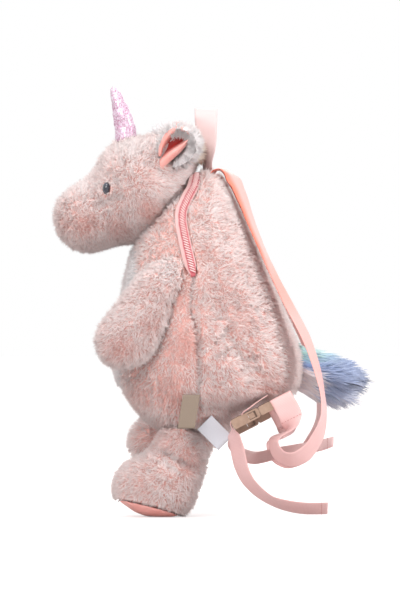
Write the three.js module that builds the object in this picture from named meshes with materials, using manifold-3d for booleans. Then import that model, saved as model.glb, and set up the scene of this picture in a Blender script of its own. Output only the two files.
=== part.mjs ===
// A child's plush animal backpack: a horned pony whose hollow torso is the bag.
// Millimetres, +Z up. The animal faces -Y, so its back and shoulder straps are on the +Y side,
// and +X is its left. The origin is the inside of the grab loop's top, where the pack hangs.
import * as THREE from "three";
import { mergeVertices } from "three/addons/utils/BufferGeometryUtils.js";
import Module from "manifold-3d";

const wasm = await Module();
wasm.setup();

// Torso: the bag itself
const TORSO_HEIGHT = 295;
const TORSO_DEPTH = 211;
const TORSO_WIDTH = 220;
const TORSO_WALL = 4; // plush, wadding and lining together
const SEAM_GAP = 0.7; // between two panels of the torso
const FIT_GAP = 0.6; // between a stuffed piece and what it is sewn to

// Grab loop
const LOOP_HEIGHT = 69;
const LOOP_SPREAD = 30; // between the loop's two legs at its top
const LOOP_ROOT_BACK = 0.49; // the share of the torso's depth where the loop is sewn in

// Head
const HEAD_LENGTH = 157;
const HEAD_HEIGHT = 135;
const HEAD_WIDTH = 152;
const EYE_DIAMETER = 13;
const HORN_LENGTH = 62;
const HORN_WIDTH = 24;
const EAR_LENGTH = 49;
const EAR_WIDTH = 43;
const EAR_DEPTH = 17; // of the hollow between its two rims
const EAR_PLUSH = 4;
const EAR_LINING = 3;
const LINING_GAP = 0.4; // between an ear's plush and its lining
const LINING_TRIM = 1.2; // how far the lining stops short of the plush's rim
const MANE_WIDTH = 62;
const MANE_THICKNESS = 19;

// Limbs and tail
const ARM_LENGTH = 143;
const ARM_WIDTH = 71;
const ARM_THICKNESS = 48;
const LEG_HEIGHT = 99;
const LEG_LENGTH = 111;
const LEG_WIDTH = 72;
const TAIL_LENGTH = 87;
const TAIL_WIDTH = 66;
const TAIL_THICKNESS = 52;

// Zip
const ZIP_SLOT = 12;
const ZIP_AHEAD = 0.62; // the share of the slot's width in front of its route
const ZIP_COIL = 6.4;
const ZIP_SINK = 1.3; // how far the tape lies below the plush
const ZIP_TAPE = 1.2;
const COIL_PROUD = 0.7; // how far the coil stands above the plush

// Webbing and side-release buckles
const STRAP_WIDTH = 25;
const STRAP_THICKNESS = 1.4;
const BUCKLE_WALL = 4; // beside the webbing slots
const BUCKLE_THICKNESS = 11;
const BUCKLE_FEMALE = 33;
const BUCKLE_MALE = 15;
const BUCKLE_BAR = 4;
const BUCKLE_SLOT = 4.4;
const BUCKLE_SKIN = 2; // the socket's upper and lower walls
const BUCKLE_ROUND = 3; // of the socket half's corners
const PRONG_ROUND = 2; // of the prong half's corners
const PRONG_HALF_SLIMMER = 0.5; // the prong half is this much thinner on each face
const BUCKLE_GAP = 0.4; // between prong and socket
const PRONG_WIDTH = 7;

// Labels
const LABEL_WIDTH = 19;
const LABEL_LENGTH = 40;
const CARE_WIDTH = 22;
const CARE_LENGTH = 41;
const LABEL_THICKNESS = 1;

const RING_SIDES = 20;
const INNER_SIDES = 16; // round the torso's hollow
const HEAD_SIDES = 18;
const LIMB_SIDES = 14;
const LOCK_SIDES = 5;
// How square a section is: 2 is an ellipse, more is squarer
const TORSO_SQUARE = 2.3;
const HEAD_SQUARE = 2.1;
const ARM_SQUARE = 2.1;
const LEG_SQUARE = 2.2;
const BELLY_SQUARE = 2.2;
const BELLY_SIDES = 24;
const HORN_SIDES = 10;
const EYE_SIDES = 10;
const EYE_RINGS = 6;

// Torso sections from the base up: front and back as shares of the depth, wide as a share of the width
const TORSO_SECTIONS = [
  { up: 0.0, front: 0.38, back: 0.547, wide: 0.2 },
  { up: 0.022, front: 0.281, back: 0.604, wide: 0.46 },
  { up: 0.056, front: 0.193, back: 0.651, wide: 0.66 },
  { up: 0.1, front: 0.13, back: 0.7, wide: 0.8 },
  { up: 0.138, front: 0.089, back: 0.82, wide: 0.88 },
  { up: 0.172, front: 0.057, back: 0.955, wide: 0.94 },
  { up: 0.216, front: 0.021, back: 0.995, wide: 0.98 },
  { up: 0.272, front: 0.0, back: 1.0, wide: 1.0 },
  { up: 0.336, front: 0.005, back: 0.984, wide: 1.0 },
  { up: 0.448, front: 0.026, back: 0.919, wide: 0.975 },
  { up: 0.56, front: 0.05, back: 0.849, wide: 0.92 },
  { up: 0.672, front: 0.086, back: 0.773, wide: 0.85 },
  { up: 0.765, front: 0.125, back: 0.719, wide: 0.77 },
  { up: 0.858, front: 0.208, back: 0.656, wide: 0.67 },
  { up: 0.933, front: 0.323, back: 0.604, wide: 0.53 },
  { up: 0.978, front: 0.39, back: 0.568, wide: 0.36 },
  { up: 1.0, front: 0.43, back: 0.535, wide: 0.17 },
];

// Folds pressed into the plush, on both sides: place and reach as shares, depth as a share of the width
const TORSO_FOLDS = [
  { back: 0.6, up: 0.42, reachBack: 0.1, reachUp: 0.1, depth: 0.026 },
  { back: 0.7, up: 0.36, reachBack: 0.1, reachUp: 0.08, depth: 0.03 },
  { back: 0.8, up: 0.3, reachBack: 0.08, reachUp: 0.08, depth: 0.024 },
  { back: 0.5, up: 0.64, reachBack: 0.12, reachUp: 0.05, depth: 0.02 },
  { back: 0.52, up: 0.22, reachBack: 0.08, reachUp: 0.05, depth: 0.018 },
];

// Side view routes over the torso, as shares of its depth and height
const ZIP_ROUTE = [
  { back: 0.452, up: 1.06 },
  { back: 0.443, up: 0.99 },
  { back: 0.4286, up: 0.943 },
  { back: 0.395, up: 0.9 },
  { back: 0.3656, up: 0.852 },
  { back: 0.3656, up: 0.81 },
  { back: 0.379, up: 0.762 },
  { back: 0.393, up: 0.714 },
  { back: 0.409, up: 0.667 },
  { back: 0.4245, up: 0.6175 },
];
const SIDE_SEAM = [
  { back: 0.4245, up: 0.6175 },
  { back: 0.4, up: 0.5 },
  { back: 0.432, up: 0.41 },
  { back: 0.448, up: 0.3 },
  { back: 0.45, up: 0.19 },
  { back: 0.43, up: 0.1 },
  { back: 0.42, up: -0.06 },
];
const BACK_SEAM = [
  { back: 0.5, up: 1.06 },
  { back: 0.51, up: 0.985 },
  { back: 0.568, up: 0.93 },
  { back: 0.646, up: 0.813 },
  { back: 0.724, up: 0.69 },
  { back: 0.79, up: 0.58 },
  { back: 0.83, up: 0.5 },
  { back: 0.85, up: 0.4 },
  { back: 0.89, up: 0.33 },
  { back: 0.9, up: 0.23 },
  { back: 0.85, up: 0.165 },
  { back: 0.78, up: 0.12 },
  { back: 0.72, up: 0.04 },
  { back: 0.7, up: -0.06 },
];
const BELLY = { up: 0.46, high: 0.27, wide: 0.56 }; // centre, half height and half width, as shares
const BELLY_CUT = [-0.5, 0.45]; // from where to where it is cut, as shares of the torso's depth

// Head sections from the muzzle back: along the head, top and bottom as shares of its height
const HEAD_SECTIONS = [
  { along: 0.0, top: 0.31, bottom: 0.3, wide: 0.05 },
  { along: 0.025, top: 0.412, bottom: 0.167, wide: 0.27 },
  { along: 0.06, top: 0.469, bottom: 0.102, wide: 0.4 },
  { along: 0.13, top: 0.535, bottom: 0.029, wide: 0.54 },
  { along: 0.2, top: 0.58, bottom: 0.0, wide: 0.61 },
  { along: 0.27, top: 0.629, bottom: -0.004, wide: 0.65 },
  { along: 0.312, top: 0.69, bottom: 0.004, wide: 0.69 },
  { along: 0.34, top: 0.78, bottom: 0.016, wide: 0.74 },
  { along: 0.39, top: 0.857, bottom: 0.037, wide: 0.81 },
  { along: 0.446, top: 0.906, bottom: 0.053, wide: 0.89 },
  { along: 0.516, top: 0.935, bottom: 0.069, wide: 0.96 },
  { along: 0.6, top: 0.953, bottom: 0.082, wide: 1.0 },
  { along: 0.726, top: 0.965, bottom: 0.143, wide: 0.98 },
  { along: 0.796, top: 0.965, bottom: 0.216, wide: 0.92 },
  { along: 0.867, top: 0.955, bottom: 0.306, wide: 0.8 },
  { along: 0.937, top: 0.915, bottom: 0.43, wide: 0.6 },
  { along: 0.98, top: 0.84, bottom: 0.54, wide: 0.36 },
  { along: 1.0, top: 0.74, bottom: 0.64, wide: 0.12 },
];
const HEAD_SEAT = { back: 0.427, up: 0.7 }; // the head's rear lower corner, as shares of the torso
const EYE_SEAT = { along: 0.375, up: 0.52 };
const EYE_HOLLOW = { reach: 0.085, depth: 0.028 }; // as shares of the head's length
const EYE_SUNK = 0.28; // of its diameter
const HORN_SEAT = { along: 0.52, up: 0.9 };

// Horn: radius as a share of half its width, lean as a share of its length towards the muzzle
const HORN_SECTIONS = [
  { along: 0.0, wide: 1.0, lean: 0.0 },
  { along: 0.2, wide: 0.97, lean: 0.01 },
  { along: 0.4, wide: 0.88, lean: 0.045 },
  { along: 0.6, wide: 0.74, lean: 0.09 },
  { along: 0.78, wide: 0.5, lean: 0.155 },
  { along: 0.92, wide: 0.33, lean: 0.2 },
  { along: 1.0, wide: 0.12, lean: 0.23 },
];
const HORN_TURNS = 3;
const HORN_GROOVE = 0.07; // of its half width

// Ear: the upper and lower rims as shares of its width from the fold line, deep as a share of its depth
const EAR_SECTIONS = [
  { along: 0.0, upper: 0.12, lower: 0.12, deep: 0.35 },
  { along: 0.15, upper: 0.34, lower: 0.24, deep: 0.75 },
  { along: 0.35, upper: 0.53, lower: 0.33, deep: 1.0 },
  { along: 0.55, upper: 0.61, lower: 0.36, deep: 1.0 },
  { along: 0.75, upper: 0.56, lower: 0.33, deep: 0.8 },
  { along: 0.9, upper: 0.4, lower: 0.22, deep: 0.5 },
  { along: 1.0, upper: 0.16, lower: 0.08, deep: 0.2 },
];
const EAR_SEAT = { side: 0.88, along: 0.76, up: 0.72 }; // the root of the ear's fold
const EAR_STEPS = 5; // across the channel
const EAR_FULLNESS = 0.8; // how square the channel is: 1 is a plain arch
const EAR_LEAN = 48; // degrees from upright, towards the back
const EAR_SPLAY = 24; // degrees outwards

// Arm: shift is towards the front, as a share of its width
const ARM_SECTIONS = [
  { along: 0.0, wide: 0.2, thick: 0.3, shift: 0.0 },
  { along: 0.04, wide: 0.42, thick: 0.55, shift: 0.0 },
  { along: 0.12, wide: 0.64, thick: 0.78, shift: 0.0 },
  { along: 0.26, wide: 0.79, thick: 0.92, shift: 0.02 },
  { along: 0.4, wide: 0.88, thick: 1.0, shift: 0.0 },
  { along: 0.52, wide: 0.95, thick: 1.0, shift: -0.03 },
  { along: 0.66, wide: 1.0, thick: 0.98, shift: -0.02 },
  { along: 0.78, wide: 0.98, thick: 0.92, shift: 0.0 },
  { along: 0.88, wide: 0.84, thick: 0.8, shift: 0.01 },
  { along: 0.96, wide: 0.54, thick: 0.55, shift: 0.02 },
  { along: 1.0, wide: 0.2, thick: 0.2, shift: 0.02 },
];
const SHOULDER = { side: 0.8, back: 0.356, up: 0.679 };
const ARM_SWING = 33.5; // degrees forward of hanging straight down
const ARM_SPREAD = 5; // degrees outwards

// Leg from the sole up: front and back as shares of its length
const LEG_SECTIONS = [
  { up: 0.0, front: 0.376, back: 0.743, wide: 0.4 },
  { up: 0.05, front: 0.257, back: 0.807, wide: 0.68 },
  { up: 0.1, front: 0.193, back: 0.847, wide: 0.82 },
  { up: 0.156, front: 0.119, back: 0.876, wide: 0.92 },
  { up: 0.222, front: 0.045, back: 0.896, wide: 0.98 },
  { up: 0.311, front: 0.02, back: 0.92, wide: 1.0 },
  { up: 0.411, front: 0.035, back: 0.955, wide: 1.0 },
  { up: 0.5, front: 0.074, back: 0.99, wide: 0.97 },
  { up: 0.578, front: 0.124, back: 1.0, wide: 0.93 },
  { up: 0.644, front: 0.215, back: 1.0, wide: 0.88 },
  { up: 0.7, front: 0.335, back: 0.99, wide: 0.84 },
  { up: 0.767, front: 0.4, back: 0.97, wide: 0.81 },
  { up: 0.856, front: 0.455, back: 0.93, wide: 0.76 },
  { up: 0.94, front: 0.51, back: 0.9, wide: 0.68 },
  { up: 1.08, front: 0.56, back: 0.88, wide: 0.56 },
];
const LEG_CREASES = [
  { along: 0.58, up: 0.7, reachAlong: 0.07, reachUp: 0.05, depth: 0.05 },
  { along: 0.68, up: 0.65, reachAlong: 0.07, reachUp: 0.05, depth: 0.06 },
  { along: 0.78, up: 0.6, reachAlong: 0.07, reachUp: 0.05, depth: 0.06 },
  { along: 0.88, up: 0.55, reachAlong: 0.07, reachUp: 0.05, depth: 0.05 },
];
const SOLE_PITCH = 14.5; // degrees, toe up
const SOLE_ROLL = 7; // degrees, outer edge up
const SOLE_AT = { along: 0.35, up: 0.115 }; // a point of the sole's seam
const HIP = { along: 0.7, up: 0.95 }; // the point of the leg that its pose places, as shares of the leg
// hip: where that point lies, as shares of the torso
const NEAR_LEG = { hip: { side: 0.43, back: 0.347, up: 0.0315 }, lift: 0, splay: 0, swing: 0 };
const FAR_LEG = { hip: { side: -0.43, back: 0.44, up: 0.0315 }, lift: 0.33, splay: -32, swing: 5 };

// Tail locks: each from its root at the torso to its tip. root and rise are heights above the tail's
// middle and thick is the lock's thickness, all as shares of its width; out is a share of its length
// and aside of its thickness
const TAIL_LOCKS = [
  { root: 0.29, out: 0.94, rise: -0.18, aside: 0.0, thick: 0.38 },
  { root: 0.18, out: 1.0, rise: -0.27, aside: 0.1, thick: 0.44 },
  { root: 0.05, out: 0.96, rise: -0.42, aside: -0.12, thick: 0.46 },
  { root: -0.1, out: 0.84, rise: -0.58, aside: 0.1, thick: 0.46 },
  { root: -0.22, out: 0.64, rise: -0.66, aside: -0.1, thick: 0.4 },
  { root: -0.28, out: 0.24, rise: -0.5, aside: 0.0, thick: 0.34 },
  { root: 0.0, out: 0.88, rise: -0.3, aside: 0.45, thick: 0.44 },
  { root: 0.0, out: 0.84, rise: -0.34, aside: -0.45, thick: 0.44 },
];
const TAIL_SEAT = { back: 0.955, up: 0.28 };

// Mane sections from the forehead over the crown and down the neck, as shares of the head.
// wide and thick are shares of the mane's width and thickness
const MANE_SECTIONS = [
  { along: 0.7, up: 0.955, wide: 0.3, thick: 0.3 },
  { along: 0.782, up: 0.984, wide: 0.75, thick: 0.6 },
  { along: 0.86, up: 0.992, wide: 1.0, thick: 0.8 },
  { along: 0.93, up: 0.975, wide: 1.0, thick: 0.95 },
  { along: 0.979, up: 0.925, wide: 0.95, thick: 1.0 },
  { along: 1.005, up: 0.855, wide: 0.85, thick: 0.95 },
  { along: 1.007, up: 0.785, wide: 0.7, thick: 0.75 },
  { along: 0.98, up: 0.715, wide: 0.45, thick: 0.4 },
];
const MANE_TUFTS = 5; // ridges round the mane
const MANE_RELIEF = 0.16; // how deep the hollows between tufts are

// Labels: the middle of the sewn edge, the slant from upright in degrees, and how far it stands off
const WOVEN_SEAT = { side: 0.93, back: 0.417, up: 0.182, slant: 0, bow: 0.05 };
const CARE_SEAT = { side: 0.74, back: 0.453, up: 0.088, slant: 45, bow: -0.17 };

const COLOURS = {
  plush: 0xe9cfcc,
  belly: 0xe8e6e6,
  lining: 0xf0a8a0,
  foil: 0xeec6d8,
  webbing: 0xe8b4b2,
  ribbon: 0xf4dcdb,
  buckle: 0xb9a08c,
  zip: 0xe3b4b6,
  eye: 0x20222c,
  mane: 0xf1e9e6,
  tail: 0xa9bbdc,
  linen: 0xb3a48f,
  care: 0xe6e7ec,
};

const radians = THREE.MathUtils.degToRad;
const vec = (x, y, z) => new THREE.Vector3(x, y, z);

// A point given as shares: side of half the torso's width, back of its depth, up of its height
function onTorso(side, back, up) {
  return vec(
    (side * TORSO_WIDTH) / 2,
    (back - LOOP_ROOT_BACK) * TORSO_DEPTH,
    -LOOP_HEIGHT - (1 - up) * TORSO_HEIGHT,
  );
}

const HEAD_CORNER = onTorso(0, HEAD_SEAT.back, HEAD_SEAT.up);

// A point given as shares of the head: along from the muzzle, up from the chin
function onHead(side, along, up) {
  return vec(
    (side * HEAD_WIDTH) / 2,
    HEAD_CORNER.y - (1 - along) * HEAD_LENGTH,
    HEAD_CORNER.z + up * HEAD_HEIGHT,
  );
}

// Rows of a table at evenly finer steps, each column eased by a curve through its values
function refine(table, steps) {
  const keys = Object.keys(table[0]);
  const rows = [];
  const at = (i, k) => table[Math.min(table.length - 1, Math.max(0, i))][k];
  for (let i = 0; i < table.length - 1; i++)
    for (let s = 0; s < steps; s++) {
      const t = s / steps;
      const row = {};
      for (const k of keys) {
        const [a, b, c, d] = [at(i - 1, k), at(i, k), at(i + 1, k), at(i + 2, k)];
        const eased =
          b + 0.5 * t * (c - a + t * (2 * a - 5 * b + 4 * c - d + t * (3 * (b - c) + d - a)));
        row[k] = Math.min(Math.max(eased, Math.min(b, c)), Math.max(b, c));
      }
      rows.push(row);
    }
  rows.push({ ...table[table.length - 1] });
  return rows;
}

// A closed skin over rings of points, with a flat cap at each end
function skin(rings) {
  const sides = rings[0].length;
  const points = rings.flat();
  const middle = (ring) => ring.reduce((sum, p) => sum.add(p), vec(0, 0, 0)).divideScalar(sides);
  points.push(middle(rings[0]), middle(rings[rings.length - 1]));
  const [first, last] = [points.length - 2, points.length - 1];
  const faces = [];
  for (let i = 0; i < sides; i++) {
    const j = (i + 1) % sides;
    faces.push(first, j, i);
    for (let r = 0; r < rings.length - 1; r++) {
      const [a, b] = [r * sides, (r + 1) * sides];
      faces.push(a + i, a + j, b + j, a + i, b + j, b + i);
    }
    const top = (rings.length - 1) * sides;
    faces.push(last, top + i, top + j);
  }
  const geometry = new THREE.BufferGeometry().setFromPoints(points);
  geometry.setIndex(faces);
  return geometry;
}

// A three.js geometry as a solid that can be cut and joined, turned outwards if it is inside out
function solid(geometry) {
  const bare = new THREE.BufferGeometry();
  bare.setAttribute("position", geometry.getAttribute("position"));
  if (geometry.index) bare.setIndex(geometry.index);
  const merged = mergeVertices(bare, 1e-4);
  const triVerts = new Uint32Array(merged.index.array);
  const mesh = { numProp: 3, vertProperties: merged.attributes.position.array, triVerts };
  const made = new wasm.Manifold(new wasm.Mesh(mesh));
  if (made.volume() > 0) return made;
  for (let i = 0; i < triVerts.length; i += 3)
    [triVerts[i + 1], triVerts[i + 2]] = [triVerts[i + 2], triVerts[i + 1]];
  return new wasm.Manifold(new wasm.Mesh(mesh));
}

function geometryOf(made) {
  const mesh = made.getMesh();
  const geometry = new THREE.BufferGeometry();
  geometry.setAttribute("position", new THREE.BufferAttribute(mesh.vertProperties, 3));
  geometry.setIndex(new THREE.BufferAttribute(mesh.triVerts, 1));
  return geometry;
}

// The largest single body of a solid, so that a cut leaves no crumbs
function largest(made) {
  return made.decompose().sort((a, b) => b.volume() - a.volume())[0];
}

// A rounded ring: half sizes a and b along unit vectors u and v about a centre
function ring(centre, u, v, a, b, squareness = 2, sides = RING_SIDES) {
  const points = [];
  for (let i = 0; i < sides; i++) {
    const angle = (2 * Math.PI * i) / sides;
    const [c, s] = [Math.cos(angle), Math.sin(angle)];
    const x = Math.sign(c) * Math.abs(c) ** (2 / squareness) * a;
    const y = Math.sign(s) * Math.abs(s) ** (2 / squareness) * b;
    points.push(centre.clone().addScaledVector(u, x).addScaledVector(v, y));
  }
  return points;
}

const X = vec(1, 0, 0);
const Y = vec(0, 1, 0);
const Z = vec(0, 0, 1);

// The torso grown by a distance on all sides, or shrunk by a negative one
function torso(grow, sides = RING_SIDES) {
  const rings = TORSO_SECTIONS.map((row) => {
    const centre = onTorso(0, (row.front + row.back) / 2, row.up);
    centre.z += grow * (2 * row.up - 1);
    const deep = ((row.back - row.front) / 2) * TORSO_DEPTH + grow;
    const wide = (row.wide * TORSO_WIDTH) / 2 + grow;
    const made = ring(centre, X, Y, wide, deep, TORSO_SQUARE, sides);
    return made.map((p) => {
      let press = 0;
      for (const fold of TORSO_FOLDS) {
        const back = p.y / TORSO_DEPTH + LOOP_ROOT_BACK;
        const behind = (back - fold.back) / fold.reachBack;
        const above = (row.up - fold.up) / fold.reachUp;
        press += fold.depth * Math.exp(-(behind ** 2) - above ** 2);
      }
      p.x *= 1 - press;
      return p;
    });
  });
  return solid(skin(rings));
}

// A band that follows a side-view route, through the torso from side to side
function band(route, ahead, behind) {
  const line = route.map((p) => onTorso(0, p.back, p.up));
  const edge = (offset) =>
    line.map((p, i) => {
      const before = line[Math.max(0, i - 1)];
      const after = line[Math.min(line.length - 1, i + 1)];
      const along = after.clone().sub(before).normalize();
      return new THREE.Vector2(p.y + along.z * offset, p.z - along.y * offset);
    });
  const shape = new THREE.Shape([...edge(ahead), ...edge(-behind).reverse()]);
  const depth = TORSO_WIDTH * 2;
  const geometry = new THREE.ExtrudeGeometry(shape, { depth, bevelEnabled: false });
  // The shape's own x and y are the torso's Y and Z, and its depth runs along X
  geometry.translate(0, 0, -depth / 2);
  geometry.applyMatrix4(new THREE.Matrix4().makeBasis(Y, Z, X));
  return solid(geometry);
}

function bellyPrism(grow) {
  const wide = (BELLY.wide * TORSO_WIDTH) / 2 + grow;
  const high = BELLY.high * TORSO_HEIGHT + grow;
  const ends = BELLY_CUT.map((back) => {
    const at = onTorso(0, back, BELLY.up);
    return ring(at, X, Z, wide, high, BELLY_SQUARE, BELLY_SIDES);
  });
  return solid(skin(ends));
}

// Head, grown by a distance
function head(grow) {
  const rings = HEAD_SECTIONS.map((row) => {
    const centre = onHead(0, row.along, (row.top + row.bottom) / 2);
    centre.y += grow * (2 * row.along - 1);
    const high = ((row.top - row.bottom) / 2) * HEAD_HEIGHT + grow;
    const wide = (row.wide * HEAD_WIDTH) / 2 + grow;
    const made = ring(centre, X, Z, wide, high, HEAD_SQUARE, HEAD_SIDES);
    const reach = EYE_HOLLOW.reach * HEAD_LENGTH;
    const at = onHead(0, EYE_SEAT.along, EYE_SEAT.up);
    return made.map((p) => {
      const near = ((p.y - at.y) ** 2 + (p.z - at.z) ** 2) / reach ** 2;
      const press = EYE_HOLLOW.depth * HEAD_LENGTH * Math.exp(-near);
      p.x -= Math.sign(p.x) * Math.min(Math.abs(p.x), press);
      return p;
    });
  });
  return solid(skin(rings));
}

// How far out the head's side is at a place seen from the side, found by a thin probe
function headSide(headSolid, along, up) {
  const at = onHead(0, along, up);
  const probe = new THREE.BoxGeometry(HEAD_WIDTH, 1, 1).translate(HEAD_WIDTH / 2, at.y, at.z);
  return headSolid.intersect(solid(probe)).boundingBox().max[0];
}

function eye(side, headSolid, grow) {
  const out = headSide(headSolid, EYE_SEAT.along, EYE_SEAT.up);
  const at = onHead(0, EYE_SEAT.along, EYE_SEAT.up);
  const ball = new THREE.SphereGeometry(EYE_DIAMETER / 2 + grow, EYE_SIDES, EYE_RINGS);
  const x = side * (out - EYE_SUNK * EYE_DIAMETER);
  return solid(ball.translate(x, at.y, at.z));
}

function horn() {
  const rows = refine(HORN_SECTIONS, 2);
  const base = onHead(0, HORN_SEAT.along, HORN_SEAT.up);
  const rings = rows.map((row) => {
    const centre = base.clone();
    centre.z += row.along * HORN_LENGTH;
    centre.y -= row.lean * HORN_LENGTH;
    const r = (row.wide * HORN_WIDTH) / 2;
    return ring(centre, X, Y, r, r, 2, HORN_SIDES).map((p) => {
      const angle = Math.atan2(p.y - centre.y, p.x);
      const phase = angle - row.along * HORN_TURNS * 2 * Math.PI;
      const keep = 1 - (HORN_GROOVE / 2) * (1 + Math.cos(phase));
      return centre.clone().add(p.sub(centre).multiplyScalar(keep));
    });
  });
  return solid(skin(rings));
}

// One layer of an ear: a channel folded about its long axis, from inset to inset + thick
function earLayer(inset, thick, trim) {
  const rings = EAR_SECTIONS.map((row) => {
    const upper = row.upper * EAR_WIDTH - trim;
    const lower = row.lower * EAR_WIDTH - trim;
    const deep = row.deep * EAR_DEPTH;
    const along = trim + row.along * (EAR_LENGTH - 2 * trim);
    const channel = (depthIn) => {
      const line = [];
      for (let i = 0; i <= EAR_STEPS; i++) {
        const t = i / EAR_STEPS;
        const across = THREE.MathUtils.lerp(upper, -lower, t);
        const sag = Math.sin(Math.PI * t) ** EAR_FULLNESS;
        line.push(vec(-deep * sag - depthIn, along, across));
      }
      return line;
    };
    return [...channel(inset), ...channel(inset + thick).reverse()];
  });
  return solid(skin(rings));
}

// An ear layer's own frame: x outwards from the head, y along the ear, z across it
function placeEar(made, side) {
  const turn = new THREE.Matrix4()
    .makeTranslation(...onHead(EAR_SEAT.side, EAR_SEAT.along, EAR_SEAT.up).toArray())
    .multiply(new THREE.Matrix4().makeRotationX(radians(90 - EAR_LEAN)))
    .multiply(new THREE.Matrix4().makeRotationZ(radians(-EAR_SPLAY)));
  const flip = new THREE.Matrix4().makeScale(side, 1, 1);
  return solid(geometryOf(made).applyMatrix4(flip.multiply(turn)));
}

// A tapering lock of hair from its root to its tip, as radius shares at steps along it
const LOCK_SECTIONS = [
  { along: 0.0, wide: 0.75 },
  { along: 0.4, wide: 1 },
  { along: 0.78, wide: 0.78 },
  { along: 1, wide: 0.22 },
];
function lock(root, tip, thick) {
  const along = tip.clone().sub(root).normalize();
  const across = Z.clone().cross(along).normalize();
  const over = along.clone().cross(across);
  const rings = LOCK_SECTIONS.map((row) => {
    const centre = root.clone().lerp(tip, row.along);
    const radius = (row.wide * thick) / 2;
    return ring(centre, across, over, radius, radius, 2, LOCK_SIDES);
  });
  return solid(skin(rings));
}

// The mane: a tufted strip over the crown, with ridges that alternate from row to row
function mane() {
  const places = MANE_SECTIONS.map((row) => onHead(0, row.along, row.up));
  const rings = MANE_SECTIONS.map((row, i) => {
    const before = places[Math.max(0, i - 1)];
    const after = places[Math.min(places.length - 1, i + 1)];
    const over = X.clone().cross(after.clone().sub(before).normalize());
    const [wide, thick] = [(row.wide * MANE_WIDTH) / 2, (row.thick * MANE_THICKNESS) / 2];
    return ring(places[i], X, over, wide, thick, 2, MANE_TUFTS * 2).map((p, k) => {
      const keep = (k + i) % 2 ? 1 - MANE_RELIEF : 1 + MANE_RELIEF / 2;
      return places[i].clone().add(p.sub(places[i]).multiplyScalar(keep));
    });
  });
  return solid(skin(rings));
}

function tail() {
  const seat = onTorso(0, TAIL_SEAT.back, TAIL_SEAT.up);
  const at = (aside, out, rise) =>
    seat.clone().add(vec(aside * TAIL_THICKNESS, out * TAIL_LENGTH, rise * TAIL_WIDTH));
  return TAIL_LOCKS.map((row) =>
    lock(at(row.aside * 0.5, 0, row.root), at(row.aside, row.out, row.rise), row.thick * TAIL_WIDTH),
  ).reduce((all, one) => all.add(one));
}

// Arm on one side, before it is cut to the torso
function arm(side) {
  const shoulder = onTorso(side * SHOULDER.side, SHOULDER.back, SHOULDER.up);
  const swing = radians(ARM_SWING);
  const spread = radians(ARM_SPREAD);
  const down = vec(side * Math.sin(spread), -Math.sin(swing), -Math.cos(swing)).normalize();
  const front = vec(0, -Math.cos(swing), Math.sin(swing));
  const out = vec(side, 0, 0);
  const rings = ARM_SECTIONS.map((row) => {
    const centre = shoulder
      .clone()
      .addScaledVector(down, row.along * ARM_LENGTH)
      .addScaledVector(front, row.shift * ARM_WIDTH);
    const wide = (row.wide * ARM_WIDTH) / 2;
    const thick = (row.thick * ARM_THICKNESS) / 2;
    return ring(centre, front, out, wide, thick, ARM_SQUARE, LIMB_SIDES);
  });
  return solid(skin(rings));
}

// Leg and sole in the leg's own frame: its hip at the origin, the toe towards -Y
function legSolid() {
  const rings = LEG_SECTIONS.map((row) => {
    const middle = (row.front + row.back) / 2;
    const centre = vec(0, (middle - HIP.along) * LEG_LENGTH, (row.up - HIP.up) * LEG_HEIGHT);
    const deep = ((row.back - row.front) / 2) * LEG_LENGTH;
    const made = ring(centre, X, Y, (row.wide * LEG_WIDTH) / 2, deep, LEG_SQUARE, LIMB_SIDES);
    return made.map((p) => {
      const along = p.y / LEG_LENGTH + HIP.along;
      let press = 0;
      for (const crease of LEG_CREASES) {
        const ahead = (along - crease.along) / crease.reachAlong;
        const above = (row.up - crease.up) / crease.reachUp;
        press += crease.depth * Math.exp(-(ahead ** 2) - above ** 2);
      }
      p.x *= 1 - press;
      return p;
    });
  });
  return solid(skin(rings));
}

// The half space under the sole's seam, shifted up or down
function underSole(side, shift) {
  const size = LEG_LENGTH * 4;
  const box = new THREE.BoxGeometry(size, size, size).translate(0, 0, -size / 2);
  const height = (SOLE_AT.up - HIP.up) * LEG_HEIGHT + shift;
  const at = vec(0, (SOLE_AT.along - HIP.along) * LEG_LENGTH, height);
  box.applyMatrix4(
    new THREE.Matrix4()
      .makeTranslation(...at.toArray())
      .multiply(new THREE.Matrix4().makeRotationX(radians(-SOLE_PITCH)))
      .multiply(new THREE.Matrix4().makeRotationY(radians(-side * SOLE_ROLL))),
  );
  return solid(box);
}

function placeLeg(made, pose) {
  const at = onTorso(pose.hip.side, pose.hip.back, pose.hip.up);
  at.z += pose.lift * LEG_HEIGHT;
  const matrix = new THREE.Matrix4()
    .makeTranslation(...at.toArray())
    .multiply(new THREE.Matrix4().makeRotationY(radians(-pose.splay)))
    .multiply(new THREE.Matrix4().makeRotationX(radians(-pose.swing)));
  return solid(geometryOf(made).applyMatrix4(matrix));
}

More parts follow.
